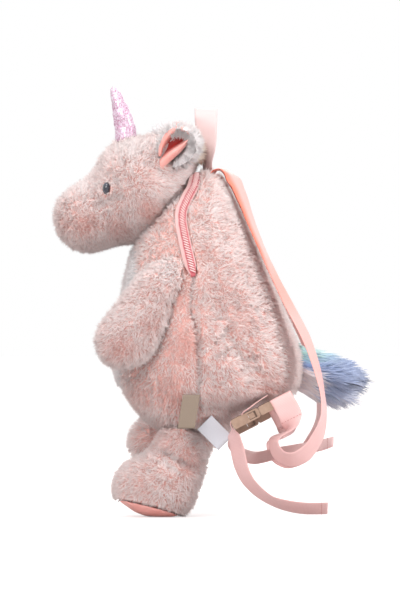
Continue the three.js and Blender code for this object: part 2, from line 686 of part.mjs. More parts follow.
// Flat webbing through stations of { at, across }, each with the steps from it to the next.
// curl lifts the webbing's two edges off its middle
function ribbon(stations, width, thickness) {
  const curve = new THREE.CatmullRomCurve3(
    stations.map((s) => s.at),
    false,
    "centripetal",
  );
  const last = stations.length - 1;
  const places = [];
  for (let i = 0; i < last; i++) {
    const steps = stations[i].steps || 2;
    for (let k = 0; k < steps; k++) places.push([i, k / steps]);
  }
  places.push([last - 1, 1]);
  const columns = stations.some((s) => s.curl) ? [-1, 0, 1] : [-1, 1];
  const rings = places.map(([i, u]) => {
    const t = (i + u) / last;
    const centre = curve.getPoint(t);
    const along = curve.getTangent(t);
    const eased = u * u * (3 - 2 * u);
    const blend = stations[i].across.clone().lerp(stations[i + 1].across, eased);
    const across = blend.addScaledVector(along, -blend.dot(along)).normalize();
    const normal = along.clone().cross(across).normalize();
    const curls = [stations[i], stations[i + 1]].map((s) => s.curl || [0, 0]);
    const row = (offset) =>
      columns.map((side) => {
        const k = side < 0 ? 0 : 1;
        const lift = side * side * THREE.MathUtils.lerp(curls[0][k], curls[1][k], u);
        return centre
          .clone()
          .addScaledVector(across, (side * width) / 2)
          .addScaledVector(normal, offset + lift);
      });
    return [...row(thickness / 2), ...row(-thickness / 2).reverse()];
  });
  return solid(skin(rings));
}

// Grab loop, from one sewn end over the top to the other: side as a share of half its spread, back of
// the webbing's width and up of the loop's height. above is in thicknesses of the webbing, turn in
// degrees from facing sideways, and curl lifts its two edges, as shares of its width
const LOOP_ROUTE = [
  { side: 0.45, back: 0.04, up: -0.09, above: 0, turn: 12, curl: [0, 0] },
  { side: 0.5, back: 0.04, up: 0.02, above: 0, turn: 14, curl: [0, 0] },
  { side: 0.72, back: 0.056, up: 0.18, above: 0, turn: 38, curl: [0, 0] },
  { side: 0.92, back: 0.04, up: 0.4, above: 0, turn: 70, curl: [0, 0] },
  { side: 1.0, back: 0.012, up: 0.62, above: 0, turn: 86, curl: [0, 0] },
  { side: 1.0, back: 0.0, up: 0.82, above: 0, turn: 90, curl: [0, 0] },
  { side: 0.7, back: 0.0, up: 0.95, above: 0.5, turn: 90, curl: [-0.12, 0] },
  { side: 0.0, back: 0.0, up: 1.0, above: 0.5, turn: 90, curl: [-0.24, -0.04] },
  { side: -0.7, back: 0.0, up: 0.95, above: 0.5, turn: 90, curl: [-0.12, 0] },
  { side: -1.0, back: 0.0, up: 0.82, above: 0, turn: 90, curl: [0, 0] },
  { side: -1.0, back: -0.02, up: 0.62, above: 0, turn: 94, curl: [0, 0] },
  { side: -0.92, back: -0.12, up: 0.4, above: 0, turn: 108, curl: [0, 0] },
  { side: -0.72, back: -0.2, up: 0.18, above: 0, turn: 142, curl: [0, 0] },
  { side: -0.5, back: -0.16, up: 0.02, above: 0, turn: 168, curl: [0, 0] },
  { side: -0.45, back: -0.16, up: -0.09, above: 0, turn: 168, curl: [0, 0] },
];
function grabLoop(grow = 0) {
  const root = onTorso(0, LOOP_ROOT_BACK, 1).z;
  const stations = LOOP_ROUTE.map((row) => {
    const turn = radians(row.turn);
    const x = (row.side * LOOP_SPREAD) / 2;
    const z = root * (1 - row.up) + row.above * STRAP_THICKNESS;
    return {
      at: vec(x, row.back * STRAP_WIDTH, z),
      across: vec(Math.cos(turn), Math.sin(turn), 0),
      curl: row.curl.map((share) => share * STRAP_WIDTH),
    };
  });
  return ribbon(stations, STRAP_WIDTH + 2 * grow, STRAP_THICKNESS + 2 * grow);
}

// A box between two corners given along a buckle, across it and through it
function block(low, high, radius = 0) {
  const size = high.map((h, i) => h - low[i]);
  const middle = high.map((h, i) => (h + low[i]) / 2);
  if (!radius) return solid(new THREE.BoxGeometry(...size).translate(...middle));
  const [a, b] = [size[0] / 2, size[2] / 2];
  const shape = new THREE.Shape();
  shape.moveTo(-a + radius, -b);
  shape.lineTo(a - radius, -b);
  shape.absarc(a - radius, -b + radius, radius, -Math.PI / 2, 0);
  shape.absarc(a - radius, b - radius, radius, 0, Math.PI / 2);
  shape.absarc(-a + radius, b - radius, radius, Math.PI / 2, Math.PI);
  shape.absarc(-a + radius, -b + radius, radius, Math.PI, Math.PI * 1.5);
  const options = { depth: size[1], bevelEnabled: false, curveSegments: 2 };
  const geometry = new THREE.ExtrudeGeometry(shape, options).translate(0, 0, -size[1] / 2);
  geometry.applyMatrix4(new THREE.Matrix4().makeBasis(X, Z, Y.clone().negate()));
  return solid(geometry.translate(...middle));
}

const BUCKLE_HALF = STRAP_WIDTH / 2 + BUCKLE_WALL; // half its width
const SLOT_HALF = STRAP_WIDTH / 2 + BUCKLE_GAP;
const BUCKLE_RISE = BUCKLE_THICKNESS / 2;
const BAR_RISE = BUCKLE_RISE * 0.44; // the bars are thinner than the frame round them

// Where the buckle's bars are, along it from the socket half's free end
const ADJUST_BAR = BUCKLE_BAR + BUCKLE_SLOT; // the bar that the tail is threaded over
const SOCKET_FLOOR = ADJUST_BAR + BUCKLE_BAR + BUCKLE_SLOT + BUCKLE_BAR / 2;
const WINDOW_END = BUCKLE_FEMALE - BUCKLE_BAR; // of the side windows that the prongs' pads fill
const MALE_START = BUCKLE_FEMALE + BUCKLE_GAP;
const MALE_SLOT = MALE_START + BUCKLE_MALE - BUCKLE_BAR - BUCKLE_SLOT;
const BUCKLE_LENGTH = MALE_START + BUCKLE_MALE;

// What thins a stretch of the buckle down to its bars, above and below
function thinned(body, from, to) {
  const far = BUCKLE_THICKNESS;
  return body
    .subtract(block([from, -SLOT_HALF, BAR_RISE], [to, SLOT_HALF, far]))
    .subtract(block([from, -SLOT_HALF, -far], [to, SLOT_HALF, -BAR_RISE]));
}

function femaleHalf() {
  const corners = [[0, -BUCKLE_HALF, -BUCKLE_RISE], [BUCKLE_FEMALE, BUCKLE_HALF, BUCKLE_RISE]];
  const frame = block(...corners, BUCKLE_ROUND);
  const far = BUCKLE_THICKNESS;
  const innerStart = ADJUST_BAR + BUCKLE_BAR;
  const innerEnd = innerStart + BUCKLE_SLOT;
  const body = thinned(frame, -1, innerEnd);
  const outerSlot = block([BUCKLE_BAR, -SLOT_HALF, -far], [ADJUST_BAR, SLOT_HALF, far]);
  const innerSlot = block([innerStart, -SLOT_HALF, -far], [innerEnd, SLOT_HALF, far]);
  const inside = BUCKLE_RISE - BUCKLE_SKIN;
  const socket = block([SOCKET_FLOOR, -SLOT_HALF, -inside], [BUCKLE_FEMALE + far, SLOT_HALF, inside]);
  const sides = block([SOCKET_FLOOR + 1, -far * 9, -inside], [WINDOW_END, far * 9, inside]);
  return body.subtract(outerSlot).subtract(innerSlot).subtract(socket).subtract(sides);
}

function maleHalf() {
  const rise = BUCKLE_RISE - BUCKLE_SKIN - BUCKLE_GAP;
  const half = BUCKLE_RISE - PRONG_HALF_SLIMMER;
  const ends = [[MALE_START, -BUCKLE_HALF, -half], [BUCKLE_LENGTH, BUCKLE_HALF, half]];
  const whole = block(...ends, PRONG_ROUND);
  const base = thinned(whole, MALE_SLOT, BUCKLE_LENGTH + 1);
  const far = BUCKLE_THICKNESS;
  const slotEnds = [[MALE_SLOT, -SLOT_HALF, -far], [MALE_SLOT + BUCKLE_SLOT, SLOT_HALF, far]];
  let made = base.subtract(block(...slotEnds));
  const shank = SLOT_HALF - BUCKLE_GAP;
  const inner = shank - PRONG_WIDTH * 0.7;
  const start = SOCKET_FLOOR + 1 + BUCKLE_GAP;
  for (const side of [-1, 1]) {
    const prong = (from, to, out, radius) => {
      const [a, b] = [side * inner, side * out].sort((p, q) => p - q);
      return block([from, a, -rise], [to, b, rise], radius);
    };
    made = made.add(prong(start, MALE_START + 1, shank, 0));
    made = made.add(prong(start, WINDOW_END - 2, BUCKLE_HALF - BUCKLE_GAP / 2, 0));
  }
  return made;
}

const BUCKLE_TILT = 27; // degrees above level, towards the back
const BUCKLE_SEAT = { side: 0.8, back: 0.626, up: 0.058 }; // the free end of the socket half
const FAR_DROP = 0.045; // how much lower the far buckle hangs, as a share of the torso's height

// The buckle's frame on one side: x along it, y across it, z through it
function buckleFrame(side, drop) {
  const at = onTorso(side * BUCKLE_SEAT.side, BUCKLE_SEAT.back, BUCKLE_SEAT.up - drop);
  const tilt = radians(BUCKLE_TILT);
  const along = vec(0, Math.cos(tilt), Math.sin(tilt));
  const through = vec(0, -Math.sin(tilt), Math.cos(tilt));
  const across = vec(side, 0, 0);
  return new THREE.Matrix4().makeBasis(along, across, through).setPosition(at);
}

// Upper strap: route from the top seam down the back, then up to the buckle.
// side, back and up are shares of the torso; across gives the way the webbing's width points
const STRAP_ROUTE = [
  { side: 0.13, back: 0.515, up: 0.98, across: [1, 0, 0.05] },
  { side: 0.14, back: 0.54, up: 1.01, across: [1, 0.02, 0.1] },
  { side: 0.17, back: 0.585, up: 1.012, across: [1, 0.1, -0.15] },
  { side: 0.22, back: 0.635, up: 0.975, across: [1, -0.35, -0.5] },
  { side: 0.29, back: 0.68, up: 0.905, across: [1, -0.25, -0.55] },
  { side: 0.37, back: 0.725, up: 0.815, across: [1, -0.2, -0.4] },
  { side: 0.45, back: 0.785, up: 0.71, across: [1, -0.16, -0.32] },
  { side: 0.53, back: 0.855, up: 0.6, across: [1, -0.25, -0.22] },
  { side: 0.6, back: 0.925, up: 0.5, across: [1, -0.38, -0.18] },
  { side: 0.66, back: 1.005, up: 0.39, across: [1, -0.4, -0.14] },
  { side: 0.72, back: 1.06, up: 0.28, across: [1, -0.35, -0.05] },
  { side: 0.77, back: 1.095, up: 0.17, across: [1, -0.22, 0.0] },
  { side: 0.81, back: 1.1, up: 0.09, across: [1, -0.3, 0.1] },
  { side: 0.84, back: 1.065, up: 0.01, across: [0.85, -0.5, 0.35] },
  { side: 0.86, back: 1.0, up: -0.05, across: [0.75, -0.3, 0.7] },
  { side: 0.87, back: 0.925, up: -0.07, across: [0.75, 0, 0.65] },
  { side: 0.86, back: 0.865, up: -0.05, across: [0.85, 0.35, 0.45] },
  { side: 0.84, back: 0.84, up: 0.0, across: [0.9, 0.42, 0.1] },
];

const STRAP_LOW = { from: 12, share: 0.6 }; // the rows that go down with a lower buckle, and how far

// The tail that hangs from the buckle's socket half and trails off behind
const TAIL_ROUTE = [
  { side: 0.8, back: 0.633, up: 0.02, across: [0.85, 0.5, 0.05] },
  { side: 0.8, back: 0.652, up: -0.03, across: [0.78, 0.62, 0.02] },
  { side: 0.8, back: 0.668, up: -0.085, across: [0.78, 0.6, 0.1] },
  { side: 0.81, back: 0.7, up: -0.14, across: [0.8, 0.48, 0.24] },
  { side: 0.82, back: 0.755, up: -0.185, across: [0.84, 0.3, 0.38] },
  { side: 0.83, back: 0.83, up: -0.222, across: [0.88, 0.1, 0.42] },
  { side: 0.84, back: 0.91, up: -0.24, across: [0.85, 0, 0.52] },
  { side: 0.84, back: 1.0, up: -0.25, across: [0.83, 0, 0.55] },
  { side: 0.84, back: 1.12, up: -0.25, across: [0.83, 0, 0.55] },
];
const FAR_TAIL_ROUTE = [
  { side: 0.79, back: 0.637, up: -0.03, across: [0.85, 0.5, 0.05] },
  { side: 0.74, back: 0.68, up: -0.066, across: [0.8, 0.4, 0.4] },
  { side: 0.67, back: 0.76, up: -0.082, across: [0.83, 0.1, 0.55] },
  { side: 0.61, back: 0.86, up: -0.066, across: [0.85, 0, 0.5] },
  { side: 0.57, back: 1.0, up: -0.048, across: [0.86, 0, 0.5] },
  { side: 0.54, back: 1.12, up: -0.03, across: [0.88, 0, 0.46] },
  { side: 0.52, back: 1.17, up: -0.018, across: [0.9, 0, 0.4] },
];

function station(side, row, drop = 0) {
  const at = onTorso(side * row.side, row.back, row.up - drop);
  return { at, across: vec(side * row.across[0], row.across[1], row.across[2]).normalize() };
}

// The webbing's centre line where it passes over a bar
const OVER_BAR = BAR_RISE + FIT_GAP / 2 + STRAP_THICKNESS / 2;
const ROUND_BAR = 1.3; // out from the bar's side, and the size of the turn
const BAR_TURN = OVER_BAR - ROUND_BAR; // where the turn round a bar ends
const BAR_CREST = OVER_BAR + ROUND_BAR * 0.1; // the webbing bulges a little over the bar's middle
const TUCKED = 2; // the strap's end under the buckle reaches this far past it

// The webbing at the buckle, in the buckle's frame: up behind the tab, over its fold and down its
// front. past is how far beyond the buckle's end and above how far above its middle, as shares of the
// webbing's width. layers counts layers of webbing across the buckle, and turn is in degrees, from 0
// with the width across the buckle to 90 with it facing sideways
const TAB_ROUTE = [
  { past: 0.52, layers: 0.5, above: -0.68, turn: 55 },
  { past: 0.8, layers: 0, above: -0.32, turn: 70 },
  { past: 0.96, layers: 0.5, above: -0.08, turn: 80 },
  { past: 0.88, layers: 1.6, above: 0, turn: 84 },
  { past: 0.52, layers: 2, above: -0.04, turn: 70 },
  { past: 0.3, layers: 1, above: 0.08, turn: 34 },
];
const TAB_LANDING = { past: 0.12, layers: 0.15, above: 0.02, turn: 2 }; // over the bar, above from there

function upperStrap(side, drop) {
  const frame = buckleFrame(side, drop);
  const sunk = (i) => (i < STRAP_LOW.from ? 0 : drop * STRAP_LOW.share);
  const stations = STRAP_ROUTE.map((row, i) => station(side, row, sunk(i)));
  const push = (x, y, z, degrees) => {
    const a = radians(degrees);
    // The width turns from across the buckle to facing sideways as the degrees go from 0 to 90
    const across = vec(0, Math.cos(a), -Math.sin(a)).transformDirection(frame);
    stations.push({ at: vec(x, y, z).applyMatrix4(frame), across, steps: 1 });
  };
  const end = BUCKLE_LENGTH;
  const layer = STRAP_THICKNESS + FIT_GAP;
  const fold = (row, base) => {
    const [past, above] = [row.past * STRAP_WIDTH, row.above * STRAP_WIDTH];
    push(end + past, row.layers * layer, base + above, row.turn);
  };
  for (const row of TAB_ROUTE) fold(row, 0);
  fold(TAB_LANDING, OVER_BAR);
  // Round the buckle's bar and back under it
  push(end - BUCKLE_BAR, 0, BAR_CREST, 0);
  push(end - BUCKLE_BAR - ROUND_BAR, 0, BAR_TURN, 0);
  push(end - BUCKLE_BAR - ROUND_BAR, 0, -BAR_TURN, 0);
  push(end - BUCKLE_BAR, 0, -BAR_CREST, 0);
  push(end + TUCKED, 0, -OVER_BAR, 0);
  return ribbon(stations, STRAP_WIDTH, STRAP_THICKNESS);
}

// The lower strap's way out of the torso and along the top of the buckle, in the buckle's own frame:
// along it, in towards the torso and above it, as shares of the buckle's socket half
const ANCHOR_ROUTE = [
  { along: 1.55, inward: 0.62, above: 0.4 },
  { along: 1.3, inward: 0.42, above: 0.33 },
  { along: 1.0, inward: 0.17, above: 0.29 },
  { along: 0.7, inward: 0.03, above: 0.24 },
];

function lowerStrap(side, drop, route) {
  const frame = buckleFrame(side, drop);
  const level = vec(side, 0, 0);
  const stations = ANCHOR_ROUTE.map(({ along, inward, above }) => ({
    at: vec(along, -inward, above).multiplyScalar(BUCKLE_FEMALE).applyMatrix4(frame),
    across: level,
  }));
  const push = (x, z) =>
    stations.push({ at: vec(x, 0, z).applyMatrix4(frame), across: level, steps: 1 });
  const inner = ADJUST_BAR + BUCKLE_BAR + ROUND_BAR;
  const outer = ADJUST_BAR - ROUND_BAR;
  // Down through the inner slot, under the middle bar, up the outer slot and over the end bar
  push(inner + 2 * ROUND_BAR, BUCKLE_RISE + ROUND_BAR);
  push(inner + ROUND_BAR * 0.4, BUCKLE_RISE - ROUND_BAR * 0.5);
  push(inner, BAR_TURN);
  push(inner, -BAR_TURN);
  push(inner - ROUND_BAR, -BAR_CREST);
  push(outer + ROUND_BAR, -BAR_CREST);
  push(outer, -BAR_TURN);
  push(outer, BAR_TURN);
  push(BUCKLE_BAR, BAR_CREST);
  push(0, BAR_CREST);
  push(-ROUND_BAR, BAR_TURN);
  push(-ROUND_BAR, -BAR_TURN);
  for (const row of route) stations.push(station(side, row));
  return ribbon(stations, STRAP_WIDTH, STRAP_THICKNESS);
}

// A cloth label on the left side: its top is sewn in at a place on the torso and the rest hangs clear
const LABEL_STEPS = [0, 0.15, 0.4, 0.7, 1]; // down its length, closer together near the seam
function label(row, width, length) {
  const down = vec(0, Math.sin(radians(row.slant)), -Math.cos(radians(row.slant)));
  const across = vec(0, Math.cos(radians(row.slant)), Math.sin(radians(row.slant)));
  const from = onTorso(row.side, row.back, row.up);
  const stations = LABEL_STEPS.map((t) => {
    const at = from.clone().addScaledVector(down, t * length);
    at.x += row.bow * length * Math.sin((Math.PI / 2) * t);
    return { at, across, steps: 1 };
  });
  return ribbon(stations, width, LABEL_THICKNESS);
}

const pack = new THREE.Group();
function addMesh(name, made, colour, roughness = 0.9, metalness = 0) {
  const material = new THREE.MeshStandardMaterial({ color: colour, roughness, metalness });
  const geometry = geometryOf(made);
  const mesh = new THREE.Mesh(geometry, material);
  mesh.name = name;
  pack.add(mesh);
}

// Torso panels: the shell cut along its zip and seams
const torsoOuter = torso(0);
const torsoClear = torso(FIT_GAP);
const shell = torsoOuter.subtract(torso(-TORSO_WALL, INNER_SIDES));
const ahead = ZIP_SLOT * ZIP_AHEAD;
const slot = band(ZIP_ROUTE, ahead, ZIP_SLOT - ahead);
const sideSeam = band(SIDE_SEAM, SEAM_GAP / 2, SEAM_GAP / 2);
const backSeam = band(BACK_SEAM, SEAM_GAP / 2, SEAM_GAP / 2);
const panels = shell
  .subtract(slot)
  .subtract(sideSeam)
  .subtract(backSeam)
  .decompose()
  .sort((a, b) => b.volume() - a.volume())
  .slice(0, 3)
  .sort((a, b) => a.boundingBox().min[1] - b.boundingBox().min[1]);
const [frontPanel, gusset, backPanel] = panels;
addMesh("torso_front", largest(frontPanel.subtract(bellyPrism(SEAM_GAP))), COLOURS.plush);
addMesh("belly_patch", largest(frontPanel.intersect(bellyPrism(0))), COLOURS.belly);
addMesh("torso_gusset", gusset, COLOURS.plush);
addMesh("torso_back", backPanel, COLOURS.plush);

// Zip: the tape lies a little below the plush and the coil stands on it
const zipBand = band(ZIP_ROUTE, ahead - FIT_GAP, ZIP_SLOT - ahead - FIT_GAP);
const coilBand = band(ZIP_ROUTE, ZIP_COIL / 2, ZIP_COIL / 2);
const tape = torso(-ZIP_SINK).subtract(torso(-ZIP_SINK - ZIP_TAPE)).intersect(zipBand);
const coil = torso(COIL_PROUD).subtract(torso(FIT_GAP - ZIP_SINK)).intersect(coilBand);
const coilClear = torso(COIL_PROUD + FIT_GAP).intersect(
  band(ZIP_ROUTE, ZIP_COIL / 2 + FIT_GAP, ZIP_COIL / 2 + FIT_GAP),
);
const sewnClear = torsoClear.add(coilClear);
const zipEnd = onTorso(0, 0, ZIP_ROUTE[ZIP_ROUTE.length - 1].up).z + 2 * FIT_GAP;
const above = new THREE.BoxGeometry(TORSO_WIDTH * 2, TORSO_DEPTH * 3, TORSO_HEIGHT);
const aboveEnd = solid(above.translate(0, 0, zipEnd + TORSO_HEIGHT / 2));
addMesh("zip_tape", largest(tape.intersect(aboveEnd)), COLOURS.zip);
addMesh("zip_coil", largest(coil.intersect(aboveEnd)), COLOURS.zip, 0.5);

// Head with its eyes, horn, ears and mane
const headFull = head(0);
const headClear = head(FIT_GAP);
const eyes = [1, -1].map((side) => eye(side, headFull, 0));
const sockets = [1, -1].map((side) => eye(side, headFull, FIT_GAP));
const headSewn = headFull.subtract(sewnClear).subtract(sockets[0]).subtract(sockets[1]);
addMesh("head", largest(headSewn), COLOURS.plush);
addMesh("eye_left", eyes[0], COLOURS.eye, 0.15);
addMesh("eye_right", eyes[1], COLOURS.eye, 0.15);
addMesh("horn", largest(horn().subtract(headClear)), COLOURS.foil, 0.3, 0.6);

let maneSolid = mane().subtract(headClear).subtract(sewnClear).subtract(grabLoop(FIT_GAP));
for (const [name, side] of [["left", 1], ["right", -1]]) {
  const plush = earLayer(EAR_LINING + LINING_GAP, EAR_PLUSH, 0);
  const lining = earLayer(0, EAR_LINING, LINING_TRIM);
  addMesh(`ear_${name}`, largest(placeEar(plush, side).subtract(headClear)), COLOURS.plush);
  addMesh(`ear_lining_${name}`, largest(placeEar(lining, side).subtract(headClear)), COLOURS.lining);
  const both = earLayer(-FIT_GAP, EAR_LINING + EAR_PLUSH + 3 * FIT_GAP, -FIT_GAP);
  maneSolid = maneSolid.subtract(placeEar(both, side));
}
addMesh("mane", largest(maneSolid), COLOURS.mane);

// Limbs
for (const [name, side] of [["left", 1], ["right", -1]])
  addMesh(`arm_${name}`, largest(arm(side).subtract(torsoClear)), COLOURS.plush);
for (const [name, side, pose] of [["left", 1, NEAR_LEG], ["right", -1, FAR_LEG]]) {
  const upper = placeLeg(legSolid().subtract(underSole(side, 0)), pose);
  const sole = placeLeg(legSolid().intersect(underSole(side, -FIT_GAP)), pose);
  addMesh(`leg_${name}`, largest(upper.subtract(torsoClear)), COLOURS.plush);
  addMesh(`sole_${name}`, largest(sole), COLOURS.lining, 0.6);
}
addMesh("tail", largest(tail().subtract(torsoClear)), COLOURS.tail);

// Webbing and buckles
addMesh("grab_loop", largest(grabLoop().subtract(sewnClear)), COLOURS.ribbon, 0.6);
const STRAPS = [
  { name: "left", side: 1, drop: 0, route: TAIL_ROUTE },
  { name: "right", side: -1, drop: FAR_DROP, route: FAR_TAIL_ROUTE },
];
for (const { name, side, drop, route } of STRAPS) {
  const frame = buckleFrame(side, drop);
  const place = (made) => solid(geometryOf(made).applyMatrix4(frame));
  addMesh(`buckle_socket_${name}`, place(femaleHalf()), COLOURS.buckle, 0.45);
  addMesh(`buckle_prong_${name}`, place(maleHalf()), COLOURS.buckle, 0.45);
  const upper = upperStrap(side, drop).subtract(torsoClear);
  const lower = lowerStrap(side, drop, route).subtract(torsoClear);
  addMesh(`strap_upper_${name}`, largest(upper), COLOURS.webbing, 0.7);
  addMesh(`strap_lower_${name}`, largest(lower), COLOURS.webbing, 0.7);
}

// Labels
const woven = label(WOVEN_SEAT, LABEL_WIDTH, LABEL_LENGTH);
const care = label(CARE_SEAT, CARE_WIDTH, CARE_LENGTH);
addMesh("woven_label", largest(woven.subtract(torsoClear)), COLOURS.linen);
addMesh("care_label", largest(care.subtract(torsoClear)), COLOURS.care, 0.6);

export default pack;
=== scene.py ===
# %% [markdown]
# # A child's plush unicorn backpack
# The solid model of the pack is already built: a zipped torso, a stuffed head, horn, limbs, a tail,
# webbing straps and buckles. This lesson dresses it in Blender. Each soft solid is replaced by a
# skin that carries a real pile of fur, and each strap by woven webbing with stitches.

# %% The tools and the frame
import math

import bmesh
import bpy
import numpy as np
from mathutils import Matrix, Vector, noise
from mathutils.bvhtree import BVHTree


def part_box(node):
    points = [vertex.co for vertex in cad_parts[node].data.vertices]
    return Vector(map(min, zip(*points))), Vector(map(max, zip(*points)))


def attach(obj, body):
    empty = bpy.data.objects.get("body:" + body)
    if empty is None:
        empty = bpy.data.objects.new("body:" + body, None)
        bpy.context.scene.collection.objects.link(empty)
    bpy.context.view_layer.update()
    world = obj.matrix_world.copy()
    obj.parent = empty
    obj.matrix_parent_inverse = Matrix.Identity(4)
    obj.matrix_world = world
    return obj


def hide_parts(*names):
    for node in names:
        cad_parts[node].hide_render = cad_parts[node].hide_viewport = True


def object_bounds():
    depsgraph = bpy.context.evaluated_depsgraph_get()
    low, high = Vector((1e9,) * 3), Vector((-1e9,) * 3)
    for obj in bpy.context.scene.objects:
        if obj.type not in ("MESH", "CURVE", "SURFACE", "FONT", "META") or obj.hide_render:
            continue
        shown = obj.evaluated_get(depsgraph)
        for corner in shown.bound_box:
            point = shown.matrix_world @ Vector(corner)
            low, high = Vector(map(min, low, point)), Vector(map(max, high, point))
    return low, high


MM = 0.001
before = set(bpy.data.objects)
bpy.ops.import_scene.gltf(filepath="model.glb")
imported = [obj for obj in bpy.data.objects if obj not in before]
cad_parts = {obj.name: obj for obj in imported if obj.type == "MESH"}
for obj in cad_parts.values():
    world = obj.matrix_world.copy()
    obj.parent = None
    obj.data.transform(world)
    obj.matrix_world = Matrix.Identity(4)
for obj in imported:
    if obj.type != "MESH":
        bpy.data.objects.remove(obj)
cad_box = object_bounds()
print("solids:", len(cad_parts), "box:", cad_box)

# %% [markdown]
# ## Camera, light and floor
# The picture was taken square to the animal's left side with a long lens, so the camera stands five
# metres away on +X. One picture point is 1.1 mm, and the frame's origin is the grab loop's top.
# A long lens keeps the near arm and the far foot at the same scale, as a short one would not.

# %% Camera
PIXEL = 1.1 * MM  # what one picture point spans at the pack's near side
PICTURE_HEIGHT = 600
PICTURE_MIDDLE = (200, 300)
LOOP_TOP = (206, 109)  # the picture point of the frame's origin
CAMERA_RANGE = 5.0
NEAR_SIDE = 0.06


def at_point(right, down):
    """Where a picture point lies in the frame, as its Y and Z."""
    return (right - LOOP_TOP[0]) * PIXEL, (LOOP_TOP[1] - down) * PIXEL


def show(made):
    bpy.context.scene.collection.objects.link(made)
    return made


camera = show(bpy.data.objects.new("camera", bpy.data.cameras.new("camera")))
camera.location = (NEAR_SIDE + CAMERA_RANGE, *at_point(*PICTURE_MIDDLE))
camera.rotation_euler = (math.pi / 2, 0, math.pi / 2)
camera.data.lens = camera.data.sensor_width * CAMERA_RANGE / (PICTURE_HEIGHT * PIXEL)
bpy.context.scene.camera = camera
bpy.context.scene.view_settings.view_transform = "Standard"

# %% Light
LAMPS = [
    # name, place, watts, size, tint
    ("overhead", (0.7, -0.1, 1.6), 13.0, 1.1, (1.0, 0.985, 0.98)),
    ("front left", (2.3, -1.0, 1.1), 28.0, 1.2, (1.0, 0.99, 0.985)),
    ("back left", (1.0, 2.3, 0.4), 30.0, 1.2, (1.0, 0.985, 0.98)),
    ("far side", (-2.2, 0.2, 0.9), 18.0, 1.4, (1.0, 0.99, 0.985)),
]
AIM = Vector((0, 0, -0.22))


def add_lamp(name, place, watts, size, tint):
    lamp = show(bpy.data.objects.new(name, bpy.data.lights.new(name, "AREA")))
    lamp.location = place
    lamp.rotation_euler = (AIM - lamp.location).to_track_quat("-Z", "Y").to_euler()
    lamp.data.energy, lamp.data.size, lamp.data.color = watts, size, tint
    lamp.visible_camera = False


for row in LAMPS:
    add_lamp(*row)

SKY_LIGHT = 1.0  # how strongly the white surroundings light the pack
world = bpy.data.worlds.new("white room")
bpy.context.scene.world = world
world.use_nodes = True
sky = world.node_tree.nodes["Background"]
sky.inputs["Color"].default_value = (1, 1, 1, 1)
sky.inputs["Strength"].default_value = SKY_LIGHT

# %% [markdown]
# ## Small helpers for node trees
# Shader and geometry trees are built the same way: add a node, set its inputs, link its outputs.
# One function does all three, so that the trees below stay short enough to read.


# %% Node helper
def add(tree, kind, inputs=None, **settings):
    """Adds a node. An input is a socket to link from, or a plain value; its key is a name or index."""
    made = tree.nodes.new(kind)
    for key, value in settings.items():
        setattr(made, key, value)
    for key, value in (inputs or {}).items():
        if isinstance(value, bpy.types.NodeSocket):
            tree.links.new(value, made.inputs[key])
        else:
            made.inputs[key].default_value = value
    return made


def mix(tree, share, first, second, blend="MIX"):
    """Two colours mixed by a share; on this node the colours are inputs 6 and 7 and output 2."""
    made = add(tree, "ShaderNodeMix", {0: share, 6: first, 7: second}, data_type="RGBA", blend_type=blend)
    return made.outputs[2]


def calc(tree, operation, first, second=0.0):
    return add(tree, "ShaderNodeMath", {0: first, 1: second}, operation=operation).outputs[0]


def colour(red, green, blue):
    """A colour given on a 0 to 255 scale, made linear as the shader needs it."""
    parts = [v / 255 for v in (red, green, blue)]
    return tuple(v / 12.92 if v <= 0.04045 else ((v + 0.055) / 1.055) ** 2.4 for v in parts) + (1.0,)


def ramp(tree, share, *stops):
    """A colour ramp; each stop is a place from 0 to 1 and a colour."""
    made = add(tree, "ShaderNodeValToRGB", {0: share})
    band = made.color_ramp
    while len(band.elements) < len(stops):
        band.elements.new(1.0)
    for element, (place, tint) in zip(band.elements, stops):
        element.position, element.color = place, tint
    return made.outputs[0]


def new_finish(name, roughness, **fixed):
    """A material whose whole-surface numbers are set on the shader's own sockets."""
    made = bpy.data.materials.new(name)
    made.use_nodes = True
    shader = made.node_tree.nodes["Principled BSDF"]
    shader.inputs["Roughness"].default_value = roughness
    for key, value in fixed.items():
        shader.inputs[key.replace("_", " ")].default_value = value
    return made, made.node_tree, shader


def place_of(tree):
    return add(tree, "ShaderNodeTexCoord").outputs["Object"]


def noise_of(tree, where, scale, detail=2.0):
    return add(tree, "ShaderNodeTexNoise", {"Vector": where, "Scale": scale, "Detail": detail}).outputs[0]


def raise_by(tree, shader, height, distance, strength=1.0):
    bump = add(tree, "ShaderNodeBump", {"Height": height, "Distance": distance, "Strength": strength})
    tree.links.new(bump.outputs[0], shader.inputs["Normal"])


# %% Floor
FLOOR_RADIUS = 14.0
FLOOR_GLOW = 0.5  # keeps the floor as pale as the surroundings, without more light on the pack from below
floor_finish, tree, shader = new_finish("pale floor", 0.75)
speckle = noise_of(tree, place_of(tree), 40.0)
tree.links.new(
    ramp(tree, speckle, (0.3, colour(196, 190, 189)), (0.7, colour(199, 193, 192))), shader.inputs[0]
)
glow = add(
    tree, "ShaderNodeMath", {0: add(tree, "ShaderNodeLightPath").outputs[0], 1: FLOOR_GLOW},
    operation="MULTIPLY"
)
shader.inputs["Emission Color"].default_value = (1, 1, 1, 1)
tree.links.new(glow.outputs[0], shader.inputs["Emission Strength"])
disc = bmesh.new()
bmesh.ops.create_circle(disc, cap_ends=True, segments=96, radius=FLOOR_RADIUS)
floor_mesh = bpy.data.meshes.new("floor")
disc.to_mesh(floor_mesh)
floor_mesh.transform(Matrix.Translation((0, 0, cad_box[0].z - 0.3 * MM)))
floor_mesh.materials.append(floor_finish)
floor = show(bpy.data.objects.new("floor", floor_mesh))


# %% [markdown]
# ## Skins under the fur
# A plush panel is a knitted backing with a soft pile on it. The solids are faceted, so each one is
# welded, remeshed into even cells and smoothed, and then drawn in by the room that the pile needs.
# The pile then fills the space back up to the real outline.


